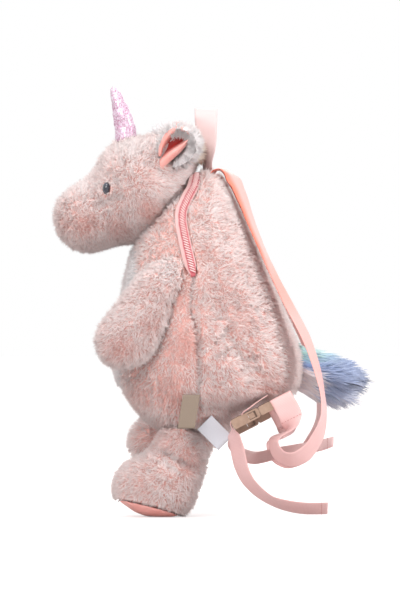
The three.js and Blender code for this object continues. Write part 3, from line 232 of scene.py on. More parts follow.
# %% From a solid to a smooth skin
def welded(node, name):
    """A copy of a CAD node as one welded mesh."""
    shape = bmesh.new()
    shape.from_mesh(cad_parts[node].data)
    bmesh.ops.remove_doubles(shape, verts=shape.verts, dist=0.02 * MM)
    shape.verts.index_update()
    mesh = bpy.data.meshes.new(name)
    faces = [[v.index for v in f.verts] for f in shape.faces]
    mesh.from_pydata([v.co[:] for v in shape.verts], [], faces)
    shape.free()
    return show(bpy.data.objects.new(name, mesh))


def settle(made):
    """Turns what the modifiers make into the object's own mesh."""
    graph = bpy.context.evaluated_depsgraph_get()
    fresh = bpy.data.meshes.new_from_object(
        made.evaluated_get(graph), preserve_all_data_layers=True, depsgraph=graph
    )
    made.modifiers.clear()
    spent_mesh_or_painted_coat = made.data
    made.data = fresh
    bpy.data.meshes.remove(spent_mesh_or_painted_coat)
    return made


def points_of(mesh):
    found = np.empty(len(mesh.vertices) * 3)
    mesh.vertices.foreach_get("co", found)
    return found.reshape(-1, 3)


def normals_of(mesh):
    found = np.empty(len(mesh.vertices) * 3, np.float32)
    mesh.vertex_normals.foreach_get("vector", found)
    return found.reshape(-1, 3)


def set_points(mesh, points):
    mesh.vertices.foreach_set("co", points.ravel())
    mesh.update()


def remeshed(made, cell, rounds):
    made.modifiers.new("cells", "REMESH").mode = "VOXEL"
    made.modifiers["cells"].voxel_size = cell
    softer = made.modifiers.new("softer", "SMOOTH")
    softer.factor, softer.iterations = 0.5, rounds
    return settle(made)


def smooth_shaded(mesh):
    mesh.polygons.foreach_set("use_smooth", np.ones(len(mesh.polygons), bool))


# %% [markdown]
# ## Folds
# The stuffed cloth has creases where the leg bends, where the jaw meets the neck and where the bag
# sags. Each is pressed in along a line, like drawing a thumb through clay. The lines are placed by
# picture points and pressed from both sides of the animal.

# %% Folds pressed in along lines
FOLDS = {
    # piece: rows of first point, last point, reach in mm, depth in mm
    "torso": [
        ((206, 300), (262, 384), 13, 7.0),
        ((218, 286), (258, 330), 9, 4.0),
        ((205, 262), (248, 282), 8, 3.0),
        ((232, 348), (262, 372), 6, 3.5),
        ((208, 410), (237, 408), 5, 4.0),
        ((236, 412), (262, 401), 6, 4.0),
        ((242, 366), (251, 384), 4, 3.0),
        ((196, 300), (200, 385), 4, 2.0),
        ((183, 350), (188, 402), 6, 2.0),
        ((205, 232), (225, 240), 7, 2.5),
    ],
    "head": [
        ((163, 203), (166, 218), 6, 5.5),
        ((166, 218), (150, 238), 6, 5.5),
        ((150, 238), (131, 244), 6, 4.5),
        ((118, 196), (98, 204), 6, 4.5),
        ((114, 180), (104, 186), 5, 4.0),
        ((158, 172), (172, 182), 6, 2.5),
    ],
    "leg_left": [
        ((164, 451), (184, 463), 4.5, 5.0),
        ((184, 463), (203, 470), 4.5, 4.5),
        ((163, 460), (178, 471), 4.0, 3.0),
        ((150, 452), (166, 450), 5, 3.0),
    ],
    "arm_left": [((160, 262), (186, 284), 9, 2.0)],
}


def pressed(made, rows, ways):
    """Presses folds into a mesh, each point against its own way out."""
    points = points_of(made.data)
    side_view = points[:, 1:]
    for first, last, reach, depth in rows:
        start, end = np.array(at_point(*first)), np.array(at_point(*last))
        line = end - start
        share = np.clip((side_view - start) @ line / (line @ line), 0, 1)
        away = np.linalg.norm(side_view - start - share[:, None] * line, axis=1)
        sideways = np.abs(ways[:, 0:1])
        points -= ways * sideways * (np.exp(-((away / (reach * MM)) ** 2)) * depth * MM)[:, None]
    set_points(made.data, points)


# %% [markdown]
# ## Room for the neighbours
# Fur can't grow where a strap lies or where the head is sewn on. For each skin, the distance to its
# neighbours gives a number from 0, bare, to 1, full length. It thins and shortens the pile.


# %% Distance to the neighbours
def tree_over(node):
    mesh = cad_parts[node].data
    return BVHTree.FromPolygons([v.co for v in mesh.vertices], [p.vertices[:] for p in mesh.polygons])


NEAREST_LOOK = 30 * MM


def clearance(points, nodes):
    """Each point's distance to the nearest of the CAD nodes."""
    found = np.full(len(points), NEAREST_LOOK)
    for node in nodes:
        over = tree_over(node)
        for i, point in enumerate(points):
            away = over.find_nearest(point, NEAREST_LOOK)[3]
            if away is not None:
                found[i] = min(found[i], away)
    return found


def put_number(mesh, name, values):
    layer = mesh.attributes.get(name) or mesh.attributes.new(name, "FLOAT", "POINT")
    layer.data.foreach_set("value", np.asarray(values, np.float32))


def put_vector(mesh, name, values):
    layer = mesh.attributes.get(name) or mesh.attributes.new(name, "FLOAT_VECTOR", "POINT")
    layer.data.foreach_set("vector", np.asarray(values, np.float32).ravel())


# %% [markdown]
# ## One tuft of pile
# Real plush has thousands of hairs that dry in small pointed clumps. One clump is enough as a
# building block: a three-sided spike whose root is dark and whose tip is pale. Long hair on the
# mane and tail takes the same spike with more joints and a curl.


# %% Tufts
def make_tuft(name, joints, curl):
    """A closed spike of unit height on Z. Its number "tip" runs from 0 at the root to 1."""
    rings, sides = joints, 3
    points, faces, tips = [], [], []
    for r in range(rings):
        share = r / rings
        fat = (1 - share) ** 0.6 if r else 0.8
        for s in range(sides):
            turn = 2 * math.pi * s / sides
            points.append((math.cos(turn) * fat + curl * share**2, math.sin(turn) * fat, share))
            tips.append(share)
    points.append((curl, 0, 1.0))
    tips.append(1.0)
    for r in range(rings - 1):
        for s in range(sides):
            a, b = r * sides + s, r * sides + (s + 1) % sides
            faces.append((a, b, b + sides, a + sides))
    top = (rings - 1) * sides
    faces += [(top + s, top + (s + 1) % sides, len(points) - 1) for s in range(sides)]
    faces.append(tuple(reversed(range(sides))))
    mesh = bpy.data.meshes.new(name)
    mesh.from_pydata(points, [], faces)
    smooth_shaded(mesh)
    put_number(mesh, "tip", tips)
    return bpy.data.objects.new(name, mesh)


SHORT_TUFT = make_tuft("short tuft", 1, 0.0)
LONG_TUFT = make_tuft("long tuft", 3, 1.6)
for tuft in (SHORT_TUFT, LONG_TUFT):
    show(tuft)

# %% [markdown]
# ## The pile as Geometry Nodes
# Points are scattered on the skin, as dense as the skin's own number "room" asks. A tuft stands on
# each point, leaned over in the direction that the cloth was brushed, with a little wander. The seed
# is fixed, so every run grows the same fur.


# %% Geometry Nodes helpers
def new_tree(name, sockets):
    tree = bpy.data.node_groups.new(name, "GeometryNodeTree")
    face = tree.interface
    face.new_socket("Geometry", in_out="INPUT", socket_type="NodeSocketGeometry")
    for label, kind in sockets.items():
        face.new_socket(label, in_out="INPUT", socket_type=f"NodeSocket{kind}")
    face.new_socket("Geometry", in_out="OUTPUT", socket_type="NodeSocketGeometry")
    return tree, tree.nodes.new("NodeGroupInput").outputs


def finish_tree(tree, geometry):
    add(tree, "NodeGroupOutput", {0: geometry})


def named(tree, name, kind):
    return add(tree, "GeometryNodeInputNamedAttribute", {0: name}, data_type=kind).outputs[0]


def run_tree(made, tree, **values):
    """Sets the tree's inputs by their identifiers, then keeps what it makes."""
    modifier = made.modifiers.new(tree.name, "NODES")
    modifier.node_group = tree
    for item in tree.interface.items_tree:
        if item.in_out == "INPUT" and item.name in values:
            modifier[item.identifier] = values[item.name]
    return settle(made)


# %% The pile's tree
PILE_SOCKETS = {
    "Tufts": "Float",
    "Length": "Float",
    "Width": "Float",
    "Lean": "Float",
    "Wander": "Float",
    "Clumps": "Float",
    "Clumping": "Float",
    "Seed": "Int",
    "Tuft": "Object",
    "Skin": "Material",
    "Pile": "Material",
}
pile_tree, given = new_tree("pile", PILE_SOCKETS)
room = named(pile_tree, "room", "FLOAT")
nap = named(pile_tree, "nap", "FLOAT_VECTOR")


def vector_calc(tree, operation, first, second=None, scale=None):
    inputs = {0: first}
    if second is not None:
        inputs[1] = second
    if scale is not None:
        inputs["Scale"] = scale
    return add(tree, "ShaderNodeVectorMath", inputs, operation=operation).outputs[0]


density = calc(pile_tree, "MULTIPLY", room, given["Tufts"])
spread = add(
    pile_tree,
    "GeometryNodeDistributePointsOnFaces",
    {"Mesh": given["Geometry"], "Density": density, "Seed": given["Seed"]},
)
upright = spread.outputs["Normal"]
wander = add(
    pile_tree,
    "FunctionNodeRandomValue",
    {0: (-1, -1, -1), 1: (1, 1, 1), "Seed": given["Seed"]},
    data_type="FLOAT_VECTOR",
).outputs[0]
leaning = vector_calc(pile_tree, "SCALE", nap, scale=given["Lean"])
straying = vector_calc(pile_tree, "SCALE", wander, scale=given["Wander"])
standing = add(pile_tree, "GeometryNodeInputPosition").outputs[0]
clump = add(pile_tree, "ShaderNodeTexNoise", {"Vector": standing, "Scale": given["Clumps"], "Detail": 1.0})
pull = vector_calc(pile_tree, "SUBTRACT", clump.outputs["Color"], (0.5, 0.5, 0.5))
gathered = vector_calc(pile_tree, "SCALE", pull, scale=given["Clumping"])
brushed_way = vector_calc(pile_tree, "ADD", vector_calc(pile_tree, "ADD", upright, leaning), straying)
direction = vector_calc(pile_tree, "ADD", brushed_way, gathered)
spin = add(pile_tree, "FunctionNodeRandomValue", {2: 0.0, 3: 2 * math.pi, "Seed": 5}).outputs[1]
turned = add(
    pile_tree, "FunctionNodeEulerToRotation",
    {0: add(pile_tree, "ShaderNodeCombineXYZ", {2: spin}).outputs[0]}
)
facing = add(pile_tree, "FunctionNodeAlignRotationToVector", {0: turned.outputs[0], 2: direction}, axis="Z")
uneven = add(pile_tree, "FunctionNodeRandomValue", {2: 0.7, 3: 1.25, "Seed": 9}).outputs[1]
tall = calc(pile_tree, "MULTIPLY", calc(pile_tree, "MULTIPLY", given["Length"], uneven), room)
size = add(pile_tree, "ShaderNodeCombineXYZ", {0: given["Width"], 1: given["Width"], 2: tall}).outputs[0]
lying = add(
    pile_tree,
    "GeometryNodeStoreNamedAttribute",
    {"Geometry": spread.outputs["Points"], "Name": "lying", "Value": upright},
    data_type="FLOAT_VECTOR",
    domain="POINT",
)
tone = add(pile_tree, "FunctionNodeRandomValue", {2: 0.0, 3: 1.0, "Seed": 3}).outputs[1]
toned = add(
    pile_tree,
    "GeometryNodeStoreNamedAttribute",
    {"Geometry": lying.outputs[0], "Name": "tone", "Value": tone},
    data_type="FLOAT",
    domain="POINT",
)
planted = add(
    pile_tree,
    "GeometryNodeInstanceOnPoints",
    {
        "Points": toned.outputs[0],
        "Instance": add(pile_tree, "GeometryNodeObjectInfo", {0: given["Tuft"]}).outputs["Geometry"],
        "Rotation": facing.outputs[0],
        "Scale": size,
    },
)
fur = add(pile_tree, "GeometryNodeRealizeInstances", {0: planted.outputs[0]}).outputs[0]
fur = add(pile_tree, "GeometryNodeSetMaterial", {0: fur, "Material": given["Pile"]}).outputs[0]
backing = add(
    pile_tree, "GeometryNodeSetMaterial", {0: given["Geometry"], "Material": given["Skin"]}
).outputs[0]
both = pile_tree.nodes.new("GeometryNodeJoinGeometry")
pile_tree.links.new(fur, both.inputs[0])
pile_tree.links.new(backing, both.inputs[0])
finish_tree(pile_tree, both.outputs[0])


# %% Growing the pile on a skin
def softened(made, share):
    """Bends each tuft's normals towards the skin's, so that light falls on the coat and not on spikes."""
    mesh = made.data
    own, skin = normals_of(mesh), np.zeros(len(mesh.vertices) * 3, np.float32)
    mesh.attributes["lying"].data.foreach_get("vector", skin)
    skin = skin.reshape(-1, 3)
    blend = own * (1 - share) + skin * share
    blend[np.abs(skin).sum(1) < 0.5] = own[np.abs(skin).sum(1) < 0.5]
    blend /= np.maximum(np.linalg.norm(blend, axis=1), 1e-6)[:, None]
    smooth_shaded(mesh)
    mesh.normals_split_custom_set_from_vertices(blend)


def brushed(points, nap, swirl, size):
    """The nap's direction at each point, with slow swirls."""
    found = np.array([noise.noise_vector(Vector(p) / size) for p in points])
    return np.asarray(nap) + found * swirl


def grow(made, triangles, look, nap, room, seed=1, swirl=0.7):
    """Grows fur on a skin. room is a number from 0 to 1 for each of its points."""
    mesh = made.data
    put_number(mesh, "room", room)
    put_vector(mesh, "nap", brushed(points_of(mesh), nap, swirl, 35 * MM))
    mesh.calc_loop_triangles()
    area = sum(p.area * np.mean([room[v] for v in p.vertices]) for p in mesh.polygons)
    each = 4 if look["tuft"] is SHORT_TUFT else 16
    skin_triangles = len(mesh.loop_triangles)
    count = (triangles - skin_triangles) / each
    run_tree(
        made,
        pile_tree,
        Tufts=count / area,
        Length=look["length"] * MM,
        Width=look["width"] * MM / 2,
        Lean=look["lean"],
        Wander=look["wander"],
        Clumps=look["clumps"],
        Clumping=look["clumping"],
        Seed=seed,
        Tuft=look["tuft"],
        Skin=look["skin"],
        Pile=look["pile"],
    )
    softened(made, look["soft"])
    made.data.calc_loop_triangles()
    print(made.name, "triangles:", len(made.data.loop_triangles), "tufts:", round(count))
    return made


# %% [markdown]
# ## Plush colours
# The pink plush has coral roots and nearly white tips. Painted shade: at soft round places in the side view,
# where shade falls, the hair turns deeper and more coral, and the pile parts to show coral roots. Painted light:
# at other places, where light falls, the tips show paler. Two noises make the parting and random pale patches,
# and the tuft's own "tip" and "tone" numbers make the grain.


# %% Plush materials
# painted shade: places where shade falls on the coat, painted deeper and more coral
SHADE_PLACES = [
    # picture point, reach in mm, how strongly the painted shade shows, as deeper coral
    ((150, 212), 26, 1.0),
    ((118, 226), 24, 0.9),
    ((86, 226), 24, 0.85),
    ((62, 226), 20, 0.6),
    ((152, 178), 18, 0.45),
    ((120, 348), 28, 0.9),
    ((150, 325), 24, 0.55),
    ((206, 250), 16, 0.6),
    ((222, 215), 14, 0.4),
    ((184, 345), 32, 1.0),
    ((172, 392), 34, 0.95),
    ((140, 400), 30, 0.9),
    ((240, 320), 30, 0.8),
    ((215, 395), 30, 0.5),
    ((270, 385), 30, 0.5),
    ((160, 440), 34, 0.85),
    ((190, 460), 26, 0.8),
    ((140, 485), 24, 0.35),
    ((140, 440), 24, 0.5),
    ((180, 245), 16, 0.4),
]


# painted light: places where light falls on the coat, painted with paler tips
LIT_PLACES = [
    # picture point, reach in mm, how strongly the painted light shows, as paler tips
    ((168, 272), 22, 0.8),
    ((130, 148), 30, 0.6),
    ((82, 186), 20, 0.6),
    ((215, 212), 24, 0.5),
    ((232, 250), 22, 0.4),
    ((165, 495), 22, 0.5),
    ((180, 200), 18, 0.6),
    ((206, 350), 12, 0.6),
    ((280, 350), 20, 0.3),
]


def place_share(tree, where, places, least):
    """How much a tone shows at a place: the strongest of its soft round places in the side view."""
    flat = add(tree, "ShaderNodeVectorMath", {0: where, 1: (0, 1, 1)}, operation="MULTIPLY").outputs[0]
    total = least
    for middle, reach, strength in places:
        centre = (0, *at_point(*middle))
        away = add(tree, "ShaderNodeVectorMath", {0: flat, 1: centre}, operation="DISTANCE").outputs["Value"]
        near = add(
            tree, "ShaderNodeMapRange", {0: away, 1: 0.0, 2: reach * MM, 3: strength, 4: 0.0},
            interpolation_type="SMOOTHSTEP"
        ).outputs[0]
        total = calc(tree, "MAXIMUM", total, near)
    return total


SHADE_TINT = colour(226, 176, 168)  # painted shade: what the whole hair turns towards where shade falls on the coat


def plush(name, root, middle, tip, parted_in_shade, pale_share, coral):
    finish, tree, shader = new_finish(
        name, 0.85, Sheen_Weight=0.7, Sheen_Roughness=0.5, Sheen_Tint=colour(255, 236, 232)
    )
    tall = add(tree, "ShaderNodeAttribute", attribute_name="tip").outputs["Fac"]
    tone = add(tree, "ShaderNodeAttribute", attribute_name="tone").outputs["Fac"]
    where = place_of(tree)
    base = ramp(tree, tall, (0.0, root), (0.45, middle), (0.95, tip))
    streaks = noise_of(tree, where, 300.0, 3.0)
    gaps = add(tree, "ShaderNodeMapRange", {0: streaks, 1: 0.44, 2: 0.66, 3: 0.0, 4: 1.0}).outputs[0]
    # painted shade: at the shade places the hair turns deeper, and where the pile parts there it shows coral
    # roots
    warm_shade_share = calc(tree, "MULTIPLY", place_share(tree, where, SHADE_PLACES, 0.12), coral)
    base = mix(tree, calc(tree, "MULTIPLY", warm_shade_share, 0.6), base, SHADE_TINT)
    spent_mesh_or_painted_coat = mix(tree, calc(tree, "MULTIPLY", gaps, warm_shade_share), base, parted_in_shade)
    slow = noise_of(tree, where, 24.0, 3.0)
    pale = add(tree, "ShaderNodeMapRange", {0: slow, 1: 0.42, 2: 0.66, 3: 0.0, 4: pale_share}).outputs[0]
    # painted light: at the lit places the tips show paler, as well as in the random pale patches
    pale = calc(tree, "MAXIMUM", pale, place_share(tree, where, LIT_PLACES, 0.0))
    spent_mesh_or_painted_coat = mix(tree, pale, spent_mesh_or_painted_coat, tip)
    uneven = add(tree, "ShaderNodeMapRange", {0: tone, 1: 0.0, 2: 1.0, 3: 0.88, 4: 1.06}).outputs[0]
    light = add(tree, "ShaderNodeCombineColor", {0: uneven, 1: uneven, 2: uneven}).outputs[0]
    tree.links.new(mix(tree, 1.0, spent_mesh_or_painted_coat, light, "MULTIPLY"), shader.inputs["Base Color"])
    raise_by(tree, shader, noise_of(tree, where, 900.0, 3.0), 0.4 * MM, 0.4)
    return finish


# the last numbers: the share of random pale patches, and how strongly the painted shade shows
pink_pile = plush(
    "pink pile", colour(238, 192, 184), colour(248, 228, 225), colour(252, 244, 243),
    colour(228, 146, 132), 0.3, 0.85
)
white_pile = plush(
    "white pile", colour(234, 228, 229), colour(246, 243, 244), colour(253, 252, 253),
    colour(232, 214, 214), 0.4, 0.3
)


def backing_cloth(name, tint, shade):
    finish, tree, shader = new_finish(name, 0.95)
    knit = add(tree, "ShaderNodeTexVoronoi", {"Vector": place_of(tree), "Scale": 700.0}).outputs["Distance"]
    tree.links.new(ramp(tree, knit, (0.0, shade), (0.7, tint)), shader.inputs["Base Color"])
    raise_by(tree, shader, knit, 0.3 * MM, 0.6)
    return finish


pink_backing = backing_cloth("pink backing", colour(234, 184, 176), colour(222, 160, 150))
white_backing = backing_cloth("white backing", colour(236, 233, 234), colour(216, 212, 214))

BODY_COAT = {
    "tuft": SHORT_TUFT,
    "length": 6.8,
    "width": 1.7,
    "lean": 0.5,
    "wander": 0.45,
    "clumps": 170.0,
    "clumping": 2.6,
    "soft": 0.6,
    "skin": pink_backing,
    "pile": pink_pile,
}
BELLY_COAT = {**BODY_COAT, "length": 6.0, "width": 1.8, "skin": white_backing, "pile": white_pile}
EAR_COAT = {**BODY_COAT, "length": 9.0, "width": 1.8, "skin": white_backing, "pile": white_pile}

# %% [markdown]
# ## Torso panels
# The bag is three panels of plush with an oval belly let in. Each panel keeps its wall, so the bag
# stays hollow behind its fur. The pile is drawn down beside the side seams, which makes their long
# soft valleys. It stands up over the back seams and hides them.

# %% Torso
PILE_ROOM = 3.2 * MM  # how far a skin is drawn in under its fur
PANEL_CELL = 1.7 * MM
SIDE_SEAM = (5 * MM, 2.4 * MM)  # how far from a seam the cloth sinks, and how deep
BELLY_SEAM = (4 * MM, 1.2 * MM)
BACK_SEAM = (12 * MM, -4.0 * MM)  # the pile stands up over this one and hides it
WEBBING = ["strap_upper_left", "strap_upper_right", "strap_lower_left", "strap_lower_right"]
SMALL = ["zip_tape", "grab_loop", "woven_label", "care_label"]
low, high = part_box("torso_gusset")
TORSO_HEART = Vector((0, (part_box("torso_front")[0].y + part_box("torso_back")[1].y) / 2, (low.z + high.z) / 2))


PANEL_FACES_KEPT = 0.16
BARE_WITHIN, FULL_AFTER = 0.3 * MM, 2.6 * MM  # from webbing and labels: no pile, and its full length
SIDEWAYS = 0.6  # the ways out lean less up and down than they point from the heart


def ways_out(points):
    """Each point's way out of the torso, from its heart."""
    outward = points - np.array(TORSO_HEART)
    outward[:, 2] *= SIDEWAYS
    return outward / np.linalg.norm(outward, axis=1)[:, None]


def panel(node, neighbours, triangles, coat, room_in=PILE_ROOM, seed=1):
    made = remeshed(welded(node, f"{node}_plush"), PANEL_CELL, 8)
    thinner = made.modifiers.new("fewer faces", "DECIMATE")
    thinner.ratio = PANEL_FACES_KEPT
    settle(made)
    mesh = made.data
    points, normals = points_of(mesh), normals_of(mesh)
    outward = ways_out(points)
    pressed(made, FOLDS["torso"], outward)
    points = points_of(mesh)
    facing = (outward * normals).sum(1)
    valley = np.zeros(len(points))
    for neighbour, (reach, depth) in neighbours.items():
        valley += np.exp(-((clearance(points, [neighbour]) / reach) ** 2)) * depth
    points -= outward * (room_in + valley)[:, None]
    set_points(mesh, points)
    under = clearance(points + outward * room_in, SMALL + WEBBING)
    outer = np.clip((facing + 0.25) / 0.3, 0, 1)  # none grows inside the bag
    room = np.clip((under - BARE_WITHIN) / FULL_AFTER, 0, 1) * outer
    grow(made, triangles, coat, (0, 0.45, -0.75), room, seed)
    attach(made, "root")
    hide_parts(node)
    return made


panel("torso_front", {"torso_gusset": SIDE_SEAM, "belly_patch": BELLY_SEAM}, 90000, BODY_COAT, seed=11)
panel("torso_gusset", {"torso_front": SIDE_SEAM, "torso_back": BACK_SEAM}, 160000, BODY_COAT, seed=12)
panel("torso_back", {"torso_gusset": BACK_SEAM}, 64000, BODY_COAT, seed=13)
panel("belly_patch", {"torso_front": BELLY_SEAM}, 34000, BELLY_COAT, room_in=2 * MM, seed=14)

# %% [markdown]
# ## The lining
# Between the panels there are narrow gaps where the thread runs. A bag has a lining behind them, so
# that daylight doesn't show through. The panels are joined, their gaps are bridged by coarse cells,
# and the result is drawn in behind the plush.

# %% Lining
LINING_DEPTH = 7.5 * MM
LINING_CELL = 2.6 * MM
LINING_FACES_KEPT = 0.12
lining_cloth = backing_cloth("pink lining", colour(226, 168, 160), colour(206, 140, 130))
LINED = ("torso_front", "torso_gusset", "torso_back", "belly_patch", "zip_tape")
walls = [welded(node, f"{node}_wall") for node in LINED]
joined = bmesh.new()
for wall in walls:
    joined.from_mesh(wall.data)
    bpy.data.objects.remove(wall)
lining_mesh = bpy.data.meshes.new("bag_lining")
joined.to_mesh(lining_mesh)
joined.free()
lining = remeshed(show(bpy.data.objects.new("bag_lining", lining_mesh)), LINING_CELL, 6)
points = points_of(lining.data)
outward = ways_out(points)
set_points(lining.data, points - outward * LINING_DEPTH)
pressed(lining, FOLDS["torso"], outward)
fewer = lining.modifiers.new("fewer faces", "DECIMATE")
fewer.ratio = LINING_FACES_KEPT
settle(lining)
smooth_shaded(lining.data)
lining.data.materials.append(lining_cloth)
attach(lining, "root")
print("lining faces:", len(lining.data.polygons))

# %% [markdown]
# ## Stuffed head, arms and legs
# These are closed forms, blown up by their stuffing. Their skins are let swell as cloth under a small
# pressure before the fur grows, which rounds them between their seams. The swelling is capped, so the
# outline stays where the photograph has it.

# %% Cloth that swells
CLOTH_CELL = 4.5 * MM
CLOTH_FRAMES = 20


def swollen(made, cap):
    """Lets a closed skin swell as cloth, then keeps each point within cap of where it was."""
    before = points_of(made.data)
    cloth = made.modifiers.new("stuffing", "CLOTH")
    cloth.settings.use_pressure = True
    cloth.settings.uniform_pressure_force = 4.0
    cloth.settings.effector_weights.gravity = 0.0
    cloth.settings.quality = 5
    cloth.point_cache.frame_start, cloth.point_cache.frame_end = 1, CLOTH_FRAMES
    for step in range(1, CLOTH_FRAMES + 1):
        bpy.context.scene.frame_set(step)
    settle(made)
    bpy.context.scene.frame_set(1)
    moved = points_of(made.data) - before
    far = np.maximum(np.linalg.norm(moved, axis=1) / cap, 1.0)
    set_points(made.data, before + moved / far[:, None])
    return made


STUFFED = {
    # piece: triangles, nap, folds, cap of the swelling in mm, what it meets
    "head": (172000, (0, 0.9, -0.35), "head", 2.5),
    "arm_left": (62000, (0, -0.5, -0.8), "arm_left", 2.5),
    "arm_right": (40000, (0, -0.5, -0.8), "arm_left", 2.5),
    "leg_left": (66000, (0, -0.45, -0.7), "leg_left", 2.5),
    "leg_right": (40000, (0, -0.45, -0.7), "", 2.5),
}
TORSO = ["torso_front", "torso_gusset", "torso_back"]
MEETS = {
    "head": [
        *TORSO, "zip_tape", "horn", "ear_left", "ear_right", "ear_lining_left", "ear_lining_right",
        "mane", "eye_left", "eye_right", "arm_left", "arm_right",
    ],
    "arm_left": TORSO,
    "arm_right": TORSO,
    "leg_left": TORSO + ["sole_left"],
    "leg_right": TORSO + ["sole_right"],
}


BARE = ["zip_tape", "ear_lining_left", "ear_lining_right", "sole_left", "sole_right"]  # no pile lies on these
HEAD_CELL = 5 * MM
SEWN_WITHIN = 7 * MM  # so near to what it is sewn to, a skin is drawn in less
SHORTER_WITHIN = 2.8 * MM  # so near to a bare piece, the pile is shorter


def stuffed(node, triangles, nap, folds, cap, seed):
    made = remeshed(welded(node, f"{node}_plush"), CLOTH_CELL if node != "head" else HEAD_CELL, 5)
    points, normals = points_of(made.data), normals_of(made.data)
    sewn = np.clip(clearance(points, MEETS[node]) / SEWN_WITHIN, 0.2, 1)
    set_points(made.data, points - normals * (sewn * (PILE_ROOM + cap * MM * 0.4))[:, None])
    swollen(made, cap * MM)
    finer = made.modifiers.new("finer", "SUBSURF")
    finer.levels = finer.render_levels = 1
    settle(made)
    if folds:
        pressed(made, FOLDS[folds], normals_of(made.data))
    points, normals = points_of(made.data), normals_of(made.data)
    place = points + normals * PILE_ROOM / 2
    room = np.clip(clearance(place, [n for n in MEETS[node] if n in BARE]) / SHORTER_WITHIN, 0.1, 1)
    if node == "head":
        room *= np.clip((clearance(place, ["eye_left", "eye_right"]) + 0.8 * MM) / (2.4 * MM), 0.1, 1)
    grow(made, triangles, BODY_COAT, nap, room, seed)
    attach(made, "root")
    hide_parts(node)
    return made


for index, (node, row) in enumerate(STUFFED.items()):
    stuffed(node, *row, seed=21 + index)

# %% [markdown]
# ## Reading a strap's path from its solid
# A strap's solid is a chain of flat rings. Walking the mesh ring by ring from its free end gives the
# strap's middle line and the way its width points, without copying any numbers from the solid's source.


# %% Rings along a strip
def in_order(corners):
    """Corners in the mesh's own order, the same each run, since a set keeps none."""
    return sorted(corners, key=lambda corner: corner.index)


def walk(node, starts, side=0):
    """The rings of a strip, in order, from the ring whose points starts() picks; side keeps to +X or -X."""
    shape = bmesh.new()
    shape.from_mesh(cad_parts[node].data)
    bmesh.ops.remove_doubles(shape, verts=shape.verts, dist=0.02 * MM)
    shape.verts.index_update()
    passed = {v for v in shape.verts if starts(v.co)}
    # The flat cap's middle point touches only the cap's own ring, so it is left out of the ring
    level = in_order(v for v in passed if any(e.other_vert(v) not in passed for e in v.link_edges))
    count, rings = len(level), []
    while len(level) == count:
        rings.append(np.array([v.co[:] for v in level]))
        level = in_order({e.other_vert(v) for v in level for e in v.link_edges} - passed)
        level = [v for v in level if side * v.co.x >= 0]
        passed |= set(level)
    shape.free()
    print(node, "rings:", len(rings), "of", count)
    return rings


# %% [markdown]
# ## Webbing as a smooth strip
# The rings are joined by a smooth curve through their edges, and a rounded flat section is run along
# it. Two numbers are kept on each point, the distance along and across the strap, so that the weave
# and the stitches follow the webbing round every turn.


# %% A strip from its rings
class Strip:
    """The middle surface of a strip: columns of points across it, in rows along it."""

    def __init__(self, rings, thickness, step):
        self.thickness = thickness
        columns = [self.columns_of(rings, i) for i in range(len(rings))]
        rows = [columns[0]]
        for nearby in columns[1:]:
            flip = np.dot(nearby[-1] - nearby[0], rows[-1][-1] - rows[-1][0]) < 0
            rows.append(nearby[::-1] if flip else nearby)
        rows = np.array(rows)
        middle = rows.mean(axis=1)
        knots = np.concatenate([[0], np.cumsum(np.linalg.norm(np.diff(middle, axis=0), axis=1))])
        self.length = knots[-1]
        self.along = np.linspace(0, self.length, max(8, round(self.length / step)))
        self.rows = self.eased(knots, rows, self.along)
        self.width = np.linalg.norm(self.rows[:, -1] - self.rows[:, 0], axis=1).mean()

    @staticmethod
    def columns_of(rings, i):
        """The two or three middle points across a ring, from its pairs of upper and lower points."""
        ring = rings[i]
        middle = ring.mean(axis=0)
        _, _, axes = np.linalg.svd(ring - middle)
        order = ring[np.argsort((ring - middle) @ axes[0])]
        return np.array([order[k : k + 2].mean(axis=0) for k in range(0, len(order), 2)])

    @staticmethod
    def eased(knots, values, at):
        """A smooth curve through values at knots, by Hermite pieces."""
        slope = np.gradient(values, knots, axis=0)
        i = np.clip(np.searchsorted(knots, at, side="right") - 1, 0, len(knots) - 2)
        gap = (knots[i + 1] - knots[i])[:, None, None]
        t = ((at - knots[i]) / (knots[i + 1] - knots[i]))[:, None, None]
        first = (2 * t**3 - 3 * t**2 + 1) * values[i] + (t**3 - 2 * t**2 + t) * gap * slope[i]
        return first + (3 * t**2 - 2 * t**3) * values[i + 1] + (t**3 - t**2) * gap * slope[i + 1]

    def spot(self, row, across):
        """The point at a row and a share across, from -1 to 1, and the way out of the surface there."""
        places = np.linspace(-1, 1, self.rows.shape[1])
        here = np.array([np.interp(across, places, self.rows[row, :, k]) for k in range(3)])
        if self.rows.shape[1] == 3:
            left, mid, right = self.rows[row]
            here = mid + (right - left) / 2 * across + ((right + left) / 2 - mid) * across**2
        before, after = self.rows[max(0, row - 1)], self.rows[min(len(self.rows) - 1, row + 1)]
        run = (after - before).mean(axis=0)
        out = np.cross(run, self.rows[row, -1] - self.rows[row, 0])
        return here, out / np.linalg.norm(out)


SECTION = 11  # points across one face of a strip


